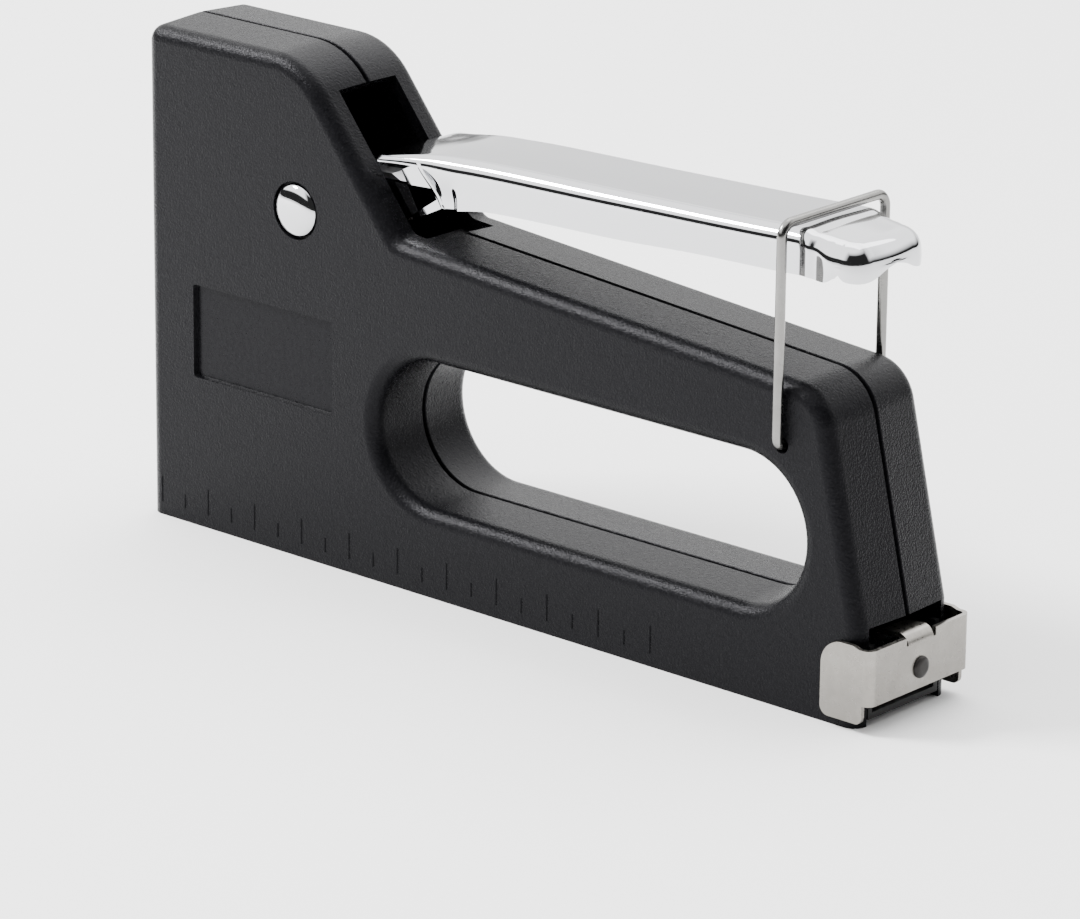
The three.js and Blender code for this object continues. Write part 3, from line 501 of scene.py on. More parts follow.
def dress_cad_nodes():
    """Every CAD node that stays in view gets the procedural material of its slot."""
    slots = {part["node"]: part["material_slot"] for part in frame["record"]["subparts"]}
    for name, obj in frame["nodes"].items():
        obj.data.materials.clear()
        obj.data.materials.append(SLOT_MATERIALS[slots[name]])


# ---- Housing -----------------------------------------------------------------------------------

def screw_places():
    places = []
    for node in SCREW_NODES:
        low, high = node_box(node)
        places.append(((low.x + high.x) / 2, (low.z + high.z) / 2))
    return places


def body_block(side):
    """One half of the outer form: seam groove and its lip, drafted wall, then the face's rounded edge.

    Each level is (distance from the seam, inset of the outline).
    """
    levels = [(0.01, SEAM_DEPTH), (SEAM, SEAM_DEPTH), (SEAM + 0.08, 0.12), (SEAM + 0.2, 0.0)]
    rim = HALF_WIDTH - EDGE_RADIUS
    levels.append((rim, DRAFT))
    for k in range(1, 9):
        angle = math.pi / 2 * k / 8
        levels.append((rim + EDGE_RADIUS * math.sin(angle), DRAFT + EDGE_RADIUS * (1 - math.cos(angle))))
    base = -3.0 * EDGE_RADIUS
    rings = [[(p.x, side * y, p.y) for p in body_outline(inset, base)] for y, inset in levels]
    holes = [[(p.x, side * y, p.y) for p in hand_hole(inset)] for y, inset in levels]
    return loft("body", rings, holes)


def hollow():
    """What is open inside the head and grip above the shelf, with a wall left round the hand hole. The
    magazine bay and the rear mouth are cut apart from it.
    """
    space = side_prism("hollow", rounded_outline([
        (WALL, SHELF_TOP, 0),
        (BODY_LENGTH - WALL, SHELF_TOP, 0),
        (BODY_LENGTH - REAR_LEAN - WALL - LEAN_INSET, GRIP_REAR_HEIGHT - WALL, REAR_CORNER_RADIUS - WALL),
        (GRIP_CORNER_X - SLANT_INSET, GRIP_FRONT_HEIGHT - WALL, GRIP_CORNER_RADIUS + WALL),
        (HEAD_TOP_LENGTH - SLANT_INSET, BODY_HEIGHT - WALL, HEAD_CORNER_RADIUS - WALL),
        (WALL, BODY_HEIGHT - WALL, 0.8),
    ]), -INNER_HALF, INNER_HALF)
    cut(space, side_prism("ring", hand_hole(HOLE_WALL), -HALF_WIDTH, HALF_WIDTH))
    return space


def lever_slot():
    rear = GRIP_CORNER_X + SLOT_REAR_REACH
    outline = [
        slant_point(SLOT_TOP_DISTANCE, -6),
        slant_point(SLOT_TOP_DISTANCE, WALL + 1),
        slant_point(SLOT_FOOT_DISTANCE, WALL + 1),
        (rear, grip_top_at(rear) - WALL - 1),
        (rear, GRIP_FRONT_HEIGHT + 6),
    ]
    return side_prism("slot", outline, -SLOT_HALF, SLOT_HALF)


def panel_cutter(side):
    """The blank label panel's recess, a little wider at the face than at its floor."""
    x, z, length, height = PANEL
    rings = []
    for depth, grow in ((-1.0, PANEL_FLARE), (PANEL_DEPTH, 0.0)):
        y = side * (HALF_WIDTH - depth)
        rings.append([(p.x, y, p.y) for p in rounded_outline([
            (x - grow, z - grow, PANEL_CORNER),
            (x + length + grow, z - grow, PANEL_CORNER),
            (x + length + grow, z + height + grow, PANEL_CORNER),
            (x - grow, z + height + grow, PANEL_CORNER),
        ], 0, 30)])
    return loft("panel", rings)


RULER_FIRST, RULER_PITCH, RULER_COUNT = 3.1, 5.0, 21
RULER_FOOT, RULER_LONG_TOP, RULER_SHORT_TOP = 2.1, 6.3, 4.4
RULER_WIDTH, RULER_DEPTH = 0.5, 0.16


def ruler_cutter(side):
    """The moulded ruler: thin upright V grooves, every second one longer."""
    points, faces = [], []
    for k in range(RULER_COUNT):
        x = RULER_FIRST + RULER_PITCH * k
        top = RULER_LONG_TOP if k % 2 == 0 else RULER_SHORT_TOP
        start = len(points)
        for z in (RULER_FOOT, top):
            outside = side * (HALF_WIDTH + 0.3)
            inside = side * (HALF_WIDTH - RULER_DEPTH)
            points += [(x - RULER_WIDTH, outside, z), (x + RULER_WIDTH, outside, z), (x, inside, z)]
        faces += [tuple(start + i for i in face) for face in
                  ((0, 1, 2), (3, 5, 4), (0, 3, 4, 1), (1, 4, 5, 2), (2, 5, 3, 0))]
    return mesh_from("ruler", points, faces)


def housing_half(side):
    sign = "right" if side > 0 else "left"
    half = body_block(side)
    near = sorted((side * -0.1, side * (HALF_WIDTH + 2)))
    cavity = hollow()
    seam_to_face = sorted((0.0, side * HALF_WIDTH))
    for x, z in screw_places():
        cut(cavity, cross_cylinder("boss", x, z, SCREW_BOSS_RADIUS, *seam_to_face, 32))
    cut(cavity, cross_cylinder("boss", *PIVOT, PIVOT_BOSS_RADIUS,
                               *sorted((side * PIVOT_BOSS_START, side * HALF_WIDTH))))
    cut(cavity, cross_cylinder("boss", *BAIL, BAIL_BOSS_RADIUS,
                               *sorted((side * BAIL_BOSS_START, side * HALF_WIDTH)), 24))
    tools = [
        cavity,
        block("below", -1, BODY_LENGTH + 1, *near, -20, 0),
        block("bay", WALL, BODY_LENGTH + 5, -BAY_HALF, BAY_HALF, -1, BAY_TOP),
        block("shaft", WALL, STRIKER_SHAFT_REAR, -BAY_HALF + 0.3, BAY_HALF - 0.3,
              BAY_TOP - 1, SHELF_TOP + 1),
        block("mouth", BODY_LENGTH - MOUTH_LENGTH, BODY_LENGTH + 5, -BAY_HALF, BAY_HALF, -1,
              REAR_FOOT_HEIGHT),
        lever_slot(),
        cross_cylinder("bore", *PIVOT, PIVOT_BORE_RADIUS, *near),
        cross_cylinder("recess", *PIVOT, PIVOT_RECESS_RADIUS,
                       *sorted((side * (HALF_WIDTH - PIVOT_RECESS_DEPTH), side * (HALF_WIDTH + 1))), 96),
        cross_cylinder("bail", *BAIL, BAIL_BORE_RADIUS,
                       *sorted((side * BAIL_BORE_START, side * (HALF_WIDTH + 1))), 32),
        panel_cutter(side),
    ]
    if side < 0:
        tools.append(ruler_cutter(side))
    for x, z in screw_places():
        if side > 0:
            tools.append(cross_cylinder("pilot", x, z, SCREW_PILOT_RADIUS, 0, HALF_WIDTH, 24))
            tools.append(cross_cylinder("head", x, z, SCREW_WELL_RADIUS, HALF_WIDTH - SCREW_WELL_DEPTH,
                                        HALF_WIDTH + 1, 48))
        else:
            tools.append(cross_cylinder("pilot", x, z, SCREW_PILOT_RADIUS, -SCREW_PILOT_DEPTH, 0, 24))
    cut(half, *tools)
    half.name = half.data.name = f"{sign}_shell"
    smooth(half, 32)
    return finish_piece(half, PLASTIC, "black_plastic", "housing", f"{sign}_housing")


# ---- Rivets, screws, springs and wire ----------------------------------------------------------

def tube(name, path, radius, sides=20):
    """A round wire along a path, its ends closed flat."""
    path = [Vector(p) for p in path]
    tangents = []
    for i in range(len(path)):
        before, after = path[max(i - 1, 0)], path[min(i + 1, len(path) - 1)]
        tangents.append((after - before).normalized())
    normal = tangents[0].orthogonal().normalized()
    rings = []
    for i, (point, tangent) in enumerate(zip(path, tangents)):
        if i:
            normal = tangents[i - 1].rotation_difference(tangent) @ normal
            normal = (normal - tangent * normal.dot(tangent)).normalized()
        across = tangent.cross(normal)
        rings.append([tuple(point + (normal * math.cos(a) + across * math.sin(a)) * radius)
                      for a in (2 * math.pi * k / sides for k in range(sides))])
    return loft(name, rings)


def turned(name, profile, centre, axis, sides=64):
    """A turned piece: profile (distance along the axis, radius) swept round an axis."""
    axis = Vector(axis).normalized()
    first = axis.orthogonal().normalized()
    second = axis.cross(first)
    centre = Vector(centre)
    rings = []
    for along, radius in profile:
        rings.append([tuple(centre + axis * along
                            + (first * math.cos(a) + second * math.sin(a)) * max(radius, 0.02))
                      for a in (2 * math.pi * k / sides for k in range(sides))])
    return loft(name, rings)


def dome_profile(radius, height, foot, shank_radius, shank_length):
    """A shank, the flat underside of the head, a short upright foot and the dome over it."""
    profile = [(-shank_length, shank_radius), (0.0, shank_radius), (0.0, radius - 0.08), (0.08, radius),
               (foot, radius)]
    for k in range(1, 15):
        angle = math.pi / 2 * k / 14
        profile.append((foot + (height - foot) * math.sin(angle), radius * math.cos(angle) ** 0.92))
    return profile


PIVOT_HEAD_RADIUS = 4.15
PIVOT_HEAD_HEIGHT = 1.9
PIVOT_HEAD_FOOT = 0.35
PIVOT_SEAT = HALF_WIDTH - PIVOT_RECESS_DEPTH + 0.03


def add_pivot_rivet(side, name, node, shank_radius, shank_length):
    profile = dome_profile(PIVOT_HEAD_RADIUS, PIVOT_HEAD_HEIGHT, PIVOT_HEAD_FOOT,
                           shank_radius, shank_length)
    rivet = turned(name, profile, (PIVOT[0], side * PIVOT_SEAT, PIVOT[1]), (0, side, 0), 96)
    smooth(rivet, 40)
    finish_piece(rivet, CHROME, "chrome", "housing", node)


SCREW_HEAD_RADIUS = 2.9
SCREW_SEAT = HALF_WIDTH - 2.9
SCREW_HEAD_HEIGHT = 2.0
SCREW_RIM_HEIGHT = 0.8
SCREW_THREAD_START = -8.2
SCREW_THREAD_LENGTH = 8.0
SCREW_TURNS = 11
SCREW_CREST, SCREW_ROOT = 1.3, 1.02
CROSS_HALF_LENGTH, CROSS_HALF_WIDTH = 1.65, 0.34


def add_screw(index, x, z):
    """A pan-head thread-forming screw with a cross recess, seated in its counterbore."""
    head = [(-9.0, 0.25), (SCREW_THREAD_START, 1.05)]
    ridges = SCREW_TURNS * 2
    for k in range(ridges):
        head.append((SCREW_THREAD_START + SCREW_THREAD_LENGTH * (k + 0.5) / ridges,
                     SCREW_CREST if k % 2 else SCREW_ROOT))
    head += [(-0.15, SCREW_CREST), (0.0, SCREW_HEAD_RADIUS - 0.15), (0.15, SCREW_HEAD_RADIUS),
             (SCREW_RIM_HEIGHT, SCREW_HEAD_RADIUS)]
    for k in range(1, 9):
        angle = math.pi / 2 * k / 8
        head.append((SCREW_RIM_HEIGHT + (SCREW_HEAD_HEIGHT - SCREW_RIM_HEIGHT) * math.sin(angle),
                     0.9 + (SCREW_HEAD_RADIUS - 0.9) * math.cos(angle)))
    head.append((SCREW_HEAD_HEIGHT, 0.0))
    screw = turned("screw", head, (x, SCREW_SEAT, z), (0, 1, 0), 40)
    y0, y1 = SCREW_SEAT + 0.7, SCREW_SEAT + SCREW_HEAD_HEIGHT + 1
    angle = math.radians(23 * index)
    for turn in (0, math.pi / 2):
        c, s = math.cos(angle + turn), math.sin(angle + turn)
        arm = [(x + c * u - s * v, z + s * u + c * v)
               for u, v in ((-CROSS_HALF_LENGTH, -CROSS_HALF_WIDTH), (CROSS_HALF_LENGTH, -CROSS_HALF_WIDTH),
                            (CROSS_HALF_LENGTH, CROSS_HALF_WIDTH), (-CROSS_HALF_LENGTH, CROSS_HALF_WIDTH))]
        cut(screw, side_prism("cross recess", arm, y0, y1))
    smooth(screw, 30, False)
    screw.name = screw.data.name = f"case_screw_{index}"
    finish_piece(screw, SPRING_STEEL, "spring_steel", "housing", f"housing_screw_{index}")


def coil(radius, length, turns, end_turns=1.0, wire=0.4, per_turn=28):
    """A compression spring's centre line along its own axis: closed end turns, an even pitch between."""
    total = turns + 2 * end_turns
    steps = math.ceil(total * per_turn)
    closed = wire * 2.05 * end_turns
    points = []
    for k in range(steps + 1):
        turn = total * k / steps
        if turn < end_turns:
            along = closed * turn / end_turns
        elif turn > total - end_turns:
            along = length - closed * (total - turn) / end_turns
        else:
            along = closed + (length - 2 * closed) * (turn - end_turns) / turns
        angle = 2 * math.pi * turn
        points.append((radius * math.cos(angle), radius * math.sin(angle), along))
    return points


MAIN_SPRING_RADIUS, MAIN_SPRING_WIRE = 4.4, 0.8
MAIN_SPRING_TURNS, PUSHER_SPRING_TURNS = 4.5, 20
PUSHER_SPRING_RADIUS, PUSHER_SPRING_WIRE = 2.15, 0.3


def add_springs():
    low, high = node_box("main_spring")
    bottom, top = low.z + MAIN_SPRING_WIRE, high.z - MAIN_SPRING_WIRE
    x = (low.x + high.x) / 2
    line = coil(MAIN_SPRING_RADIUS, top - bottom, MAIN_SPRING_TURNS, 0.9, MAIN_SPRING_WIRE)
    spring = tube("main_coil", [(x + p[0], p[1], bottom + p[2]) for p in line], MAIN_SPRING_WIRE, 14)
    smooth(spring, 60, False)
    finish_piece(spring, SPRING_STEEL, "spring_steel", "housing", "main_spring")
    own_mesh(spring)

    low, high = node_box("pusher_spring")
    front, rear = low.x + PUSHER_SPRING_WIRE, high.x - PUSHER_SPRING_WIRE
    z = (low.z + high.z) / 2
    line = coil(PUSHER_SPRING_RADIUS, rear - front, PUSHER_SPRING_TURNS, 1.0, PUSHER_SPRING_WIRE, 24)
    spring = tube("pusher_coil", [(front + p[2], p[0], z + p[1]) for p in line], PUSHER_SPRING_WIRE, 8)
    smooth(spring, 60, False)
    finish_piece(spring, SPRING_STEEL, "spring_steel", "magazine_drawer", "pusher_spring")
    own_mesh(spring)


# ---- Bail --------------------------------------------------------------------------------------

BAIL_WIRE = 0.75
BAIL_LEG_Y = HALF_WIDTH + 0.2 + BAIL_WIRE
BAIL_HEIGHT = 32.4
BAIL_BAR_BEND = 2.0
BAIL_FOOT_BEND = 1.2
BAIL_FOOT_DEPTH = 2.7


def add_bail():
    x, pivot_z = BAIL
    bar_z = pivot_z + BAIL_HEIGHT

    def bend(z, radius, start, steps=12):
        return [(x, BAIL_LEG_Y - radius + radius * math.cos(a), z + radius * math.sin(a))
                for a in (start + math.pi / 2 * k / steps for k in range(steps + 1))]

    half = [(x, HALF_WIDTH - BAIL_FOOT_DEPTH, pivot_z)]
    half += bend(pivot_z + BAIL_FOOT_BEND, BAIL_FOOT_BEND, -math.pi / 2)
    half += [(x, BAIL_LEG_Y, pivot_z + share * BAIL_HEIGHT) for share in (0.2, 0.4, 0.6, 0.8)]
    half += bend(bar_z - BAIL_BAR_BEND, BAIL_BAR_BEND, 0)
    half += [(x, y, bar_z) for y in (6.0, 3.0)]
    path = half + [(x, 0, bar_z)] + [(px, -py, pz) for px, py, pz in reversed(half)]
    wire = tube("bail_wire", path, BAIL_WIRE, 24)
    smooth(wire, 50)
    finish_piece(wire, WIRE, "nickel", "bail", "lock_bail")


# ---- Lever -------------------------------------------------------------------------------------

LEVER_HALF = 9.0
LEVER_SHEET = 1.0
LEVER_FRONT = 46.5
LEVER_NOSE = BAIL[0] + 11.4
NOSE_CORNER = 4.0
NOSE_HALF = LEVER_HALF - 0.45
NOSE_BOW = 0.35
LEVER_EDGE = 2.3
LEVER_FRONT_EDGE = 0.9
NOSE_EDGE = 3.1
NECK_X = BAIL[0] + 2.3
FLANGE_FRONT_TOP = (55.5, 66.6)
FLANGE_FRONT_FOOT = (59.4, 60.1)
PINCH_X = 63.6
PINCH_DEPTH = 1.3
RETURN_BEND = 1.3
RETURN_HOOK = 1.2
RETURN_REACH = 6.5
RETURN_SHEET = 0.9
NECK_STEP = 0.45
NOSE_FALL = 0.1
LEVER_TOP = [(44, 65.3), (46.5, 66.0), (50.8, 66.8), (54.5, 67.45), (58.2, 68.0), (63.3, 68.4),
             (69.2, 68.7), (80, 69.0), (90, 69.25), (101, 69.6), (110.7, 69.9), (120, 70.25), (126.6, 70.55)]
LEVER_FOOT = [(59.4, 60.1), (63.2, 60.7), (68.3, 61.6), (74.8, 62.0), (80.5, 62.2), (94.6, 62.6),
              (108.4, 63.4), (123.3, 63.9), (128.6, 64.1), (130.6, 63.75), (132.2, 63.9), (133.5, 64.7)]
NOSE_FOOT = [(0.0, 64.7), (0.5, 65.3), (1.1, 64.6), (2.4, 64.25), (4.5, 64.2), (6.5, 64.6), (8.5, 65.5),
             (11.0, 66.1), (13.0, 66.2)]


def along(points, x):
    """The height of a smooth curve through points at x."""
    if x <= points[0][0]:
        return points[0][1]
    if x >= points[-1][0]:
        return points[-1][1]
    last = len(points) - 1
    i = next(k for k in range(last) if points[k + 1][0] >= x)
    (x0, z0), (x1, z1) = points[i], points[i + 1]

    def slope(k):
        a, b = points[max(k - 1, 0)], points[min(k + 1, last)]
        return (b[1] - a[1]) / (b[0] - a[0])

    width = x1 - x0
    t = (x - x0) / width
    return ((2 * t**3 - 3 * t**2 + 1) * z0 + (t**3 - 2 * t**2 + t) * width * slope(i)
            + (3 * t**2 - 2 * t**3) * z1 + (t**3 - t**2) * width * slope(i + 1))


def hump(x, middle, width):
    return math.exp(-((x - middle) / width) ** 2)


def ease(value, start, end):
    t = min(1.0, max(0.0, (value - start) / (end - start)))
    return t * t * (3 - 2 * t)


def lever_top_at(x):
    if x <= BAIL[0]:
        top = along(LEVER_TOP, x)
    else:
        top = LEVER_TOP[-1][1] - NECK_STEP * ease(x, NECK_X - 1.5, NECK_X + 0.4)
        top -= NOSE_FALL * max(0.0, x - NECK_X)
    return top


def lever_chain():
    """The near half of the lever's outline in plan, front to nose: (x, y, outward normal, distance)."""
    stations = []
    marks = [(LEVER_FRONT, 54.9, 0.7), (55.0, 66.0, 0.35), (66.0, 124.0, 2.4), (124.0, 133.65, 0.3)]
    for start, end, step in marks:
        count = max(1, round((end - start) / step))
        stations += [start + (end - start) * k / count for k in range(count)]
    corner_x = LEVER_NOSE - NOSE_BOW - NOSE_CORNER
    stations = [x for x in stations if x < corner_x - 0.05]
    chain = []
    for x in stations:
        half = LEVER_HALF - 0.5 * ease(x, NECK_X - 0.1, NECK_X + 1.3) + 0.25 * hump(x, NECK_X + 3.4, 1.3)
        if x < LEVER_FRONT + 1.4:
            reach = 1.4 - (x - LEVER_FRONT)
            half -= 1.4 - math.sqrt(max(0.0, 1.96 - reach * reach))
        chain.append((x, -half, Vector((0, -1)), x - corner_x))
    for k in range(15):
        angle = -math.pi / 2 + math.pi / 2 * k / 14
        normal = Vector((math.cos(angle), math.sin(angle)))
        chain.append((corner_x + NOSE_CORNER * normal.x,
                      -(NOSE_HALF - NOSE_CORNER) + NOSE_CORNER * normal.y,
                      normal, NOSE_CORNER * (angle + math.pi / 2)))
    return chain


def skirt_column(x, y, normal, distance):
    """One column of the lever's skin, from the top plate's edge over the rounding and down the side."""
    edge = LEVER_FRONT_EDGE
    edge += (LEVER_EDGE - LEVER_FRONT_EDGE) * ease(x, LEVER_FRONT, FLANGE_FRONT_FOOT[0] + 4)
    edge += (NOSE_EDGE - LEVER_EDGE) * ease(x, NECK_X + 0.6, NECK_X + 3.5)
    top = lever_top_at(x - normal.x * edge)
    if x < FLANGE_FRONT_TOP[0]:
        foot = top - edge - 0.25
    elif x < FLANGE_FRONT_FOOT[0]:
        share = (x - FLANGE_FRONT_TOP[0]) / (FLANGE_FRONT_FOOT[0] - FLANGE_FRONT_TOP[0])
        foot = FLANGE_FRONT_TOP[1] + share * (FLANGE_FRONT_FOOT[1] - FLANGE_FRONT_TOP[1])
        foot = min(foot, top - edge - 0.25)
    elif distance < 0:
        foot = along(LEVER_FOOT, x)
    else:
        foot = along(NOSE_FOOT, distance)
    column = []
    for k in range(11):
        angle = math.pi / 2 * (1 - k / 10)
        inward = edge * (1 - math.cos(angle))
        column.append((x - normal.x * inward, y - normal.y * inward, top - edge + edge * math.sin(angle)))
    crease = top - edge
    levels = 14
    for k in range(1, levels + 1):
        share = k / levels
        z = crease + (foot - crease) * share
        out = 0.0
        if x > NECK_X + 1.5:
            out = 0.07 * math.sin(math.pi * share) * ease(x, NECK_X + 1.5, NECK_X + 4)
        out -= PINCH_DEPTH * (1 - ease(x, PINCH_X - 2.2, PINCH_X)) * ease(share, 0.05, 0.9)
        column.append((x + normal.x * out, y + normal.y * out, z))
    return column


CROSS_STEPS = 20
TOP_CROWN = 0.1


def lever_skin():
    """The lever's outer skin: sides and top plate front to back, then the closed nose's columns."""
    chain = lever_chain()
    points, faces = [], []

    def add_grid(rows):
        start = len(points)
        width = len(rows[0])
        for row in rows:
            points.extend(row)
        for i in range(len(rows) - 1):
            for j in range(width - 1):
                a = start + i * width + j
                faces.append((a, a + 1, a + width + 1, a + width))

    rows = []
    for station in chain:
        column = skirt_column(*station)
        x, y, z = column[0]
        bow = NOSE_BOW * ease(x, LEVER_NOSE - 6, LEVER_NOSE - 3.1)
        middle = []
        for j in range(1, CROSS_STEPS):
            across = -1 + 2 * j / CROSS_STEPS
            px = x + bow * (1 - across * across)
            middle.append((px, y * -across, lever_top_at(px) + TOP_CROWN * (1 - across**2) ** 2))
        far = [(px, -py, pz) for px, py, pz in column]
        rows.append(list(reversed(column)) + middle + far)
    add_grid(rows)

    corner_y = -(NOSE_HALF - NOSE_CORNER)
    half_arc = NOSE_CORNER * math.pi / 2
    columns = []
    for j in range(CROSS_STEPS + 1):
        across = -1 + 2 * j / CROSS_STEPS
        y = -corner_y * across
        x = LEVER_NOSE - NOSE_BOW + NOSE_BOW * (1 - across * across)
        column = skirt_column(x, y, Vector((1, 0)), half_arc - corner_y * (1 - abs(across)))
        lift = TOP_CROWN * (1 - across * across) ** 2
        column[0] = (column[0][0], column[0][1], column[0][2] + lift)
        columns.append(column)
    rows[-1][len(columns[0]):len(columns[0]) + CROSS_STEPS - 1] = [c[0] for c in columns[1:-1]]
    width = len(rows[0])
    base = (len(rows) - 1) * width
    for j, point in enumerate(rows[-1]):
        points[base + j] = point
    add_grid(columns)
    return mesh_from("skin", points, faces)


ARM_OUTER, ARM_INNER = 5.5, 4.4
EYE_RADIUS = 6.2


def lever_returns(side):
    """The turned-in strip between a flange's front edge and the arm that goes in to the pivot."""
    rows = []
    levels = 12
    for k in range(levels + 1):
        share = k / levels
        x = FLANGE_FRONT_TOP[0] + share * (FLANGE_FRONT_FOOT[0] - FLANGE_FRONT_TOP[0])
        z = FLANGE_FRONT_TOP[1] + share * (FLANGE_FRONT_FOOT[1] - FLANGE_FRONT_TOP[1])
        outer = LEVER_HALF - PINCH_DEPTH * ease(share, 0.05, 0.9)
        bend = RETURN_BEND
        row = [(x + 0.4, side * outer, z)]
        for a in range(0, 91, 15):
            angle = math.radians(a)
            row.append((x - bend * math.sin(angle), side * (outer - bend + bend * math.cos(angle)),
                        z - 0.02 * a / 90))
        inner = ARM_OUTER
        for a in range(0, 91, 15):
            angle = math.radians(a)
            row.append((x - bend - RETURN_HOOK * (1 - math.cos(angle)),
                        side * (inner + RETURN_HOOK - RETURN_HOOK * math.sin(angle)),
                        z - 1.0 * a / 90))
        row.append((x - RETURN_REACH, side * inner, z - 3.0))
        rows.append(row)
    points = [p for row in rows for p in row]
    width = len(rows[0])
    faces = [(i * width + j, i * width + j + 1, (i + 1) * width + j + 1, (i + 1) * width + j)
             for i in range(levels) for j in range(width - 1)]
    return mesh_from("return", points, faces)


def lever_arm(side):
    x, z = PIVOT
    outline = [(57.0, 62.0), (56.5, 60.6), (47.4, 54.5), (x + 3.6, z - 5.0)]
    for k in range(17):
        angle = -math.pi / 2 + 0.3 - 3.2 * k / 16
        outline.append((x + EYE_RADIUS * math.cos(angle), z + EYE_RADIUS * math.sin(angle)))
    outline += [(38.0, 61.0), (50.0, 61.6)]
    arm = side_prism("arm", outline[::-1], *sorted((side * ARM_INNER, side * ARM_OUTER)))
    return cut(arm, cross_cylinder("bore", x, z, PIVOT_BORE_RADIUS, -9, 9))


def merge(name, objects):
    work = bmesh.new()
    for obj in objects:
        work.from_mesh(obj.data)
        discard(obj)
    mesh = bpy.data.meshes.new(name)
    work.to_mesh(mesh)
    work.free()
    return new_object(name, mesh)


def thicken(obj, thickness):
    """Gives a skin its sheet thickness, on the inside."""
    modifier = obj.modifiers.new("sheet", "SOLIDIFY")
    modifier.thickness = thickness * MM
    modifier.offset = -1
    apply_modifiers(obj)
    return obj


def face_outwards(obj, inside):
    """Turns a skin's faces away from a point inside it."""
    work = bmesh.new()
    work.from_mesh(obj.data)
    centre = place(*inside)
    total = sum((face.calc_center_median() - centre).dot(face.normal) * face.calc_area()
                for face in work.faces)
    if total < 0:
        bmesh.ops.reverse_faces(work, faces=work.faces)
    work.to_mesh(obj.data)
    work.free()
    return obj


def add_lever():
    skin = thicken(face_outwards(lever_skin(), (95, 0, 60)), LEVER_SHEET)
    returns = [thicken(face_outwards(lever_returns(side), (62, 0, 62)), RETURN_SHEET) for side in (-1, 1)]
    arms = [lever_arm(side) for side in (-1, 1)]
    lever = merge("lever_channel", [skin, *returns, *arms])
    smooth(lever, 40)
    finish_piece(lever, CHROME, "chrome", "lever", "lever_handle")


# ---- End cap -----------------------------------------------------------------------------------

CAP_SHEET = 0.7
CAP_REAR = BODY_LENGTH + 2.56
CAP_EAR_LENGTH = 8.9
CAP_EAR_BOTTOM = 1.5
CAP_TOP = 13.1
CAP_PLATE_TOP = 12.75
CAP_PLATE_BOTTOM = 4.4
CAP_BEND = 1.5
CAP_TAB_HALF = 2.9
CAP_TAB_BEND = 1.9
CAP_TAB_LENGTH = 5.0
CAP_GAP = 0.3
ROD_HEIGHT = 7.6
CAP_RIVET_RADIUS = 1.65
CAP_RIVET_SHANK = 0.8
CAP_RIVET_RIM = 0.12
CAP_RIVET_HEIGHT = 0.6
CAP_RIVET_FLAT = 0.75


def plan_prism(name, outline, z0, z1):
    return loft(name, [[(p[0], p[1], z) for p in outline] for z in (z0, z1)])


def bevel(obj, width, segments=2, angle=40.0):
    modifier = obj.modifiers.new("bevel", "BEVEL")
    modifier.width = width * MM
    modifier.segments = segments
    modifier.limit_method = "ANGLE"
    modifier.angle_limit = math.radians(angle)
    modifier.harden_normals = False
    apply_modifiers(obj)
    return obj


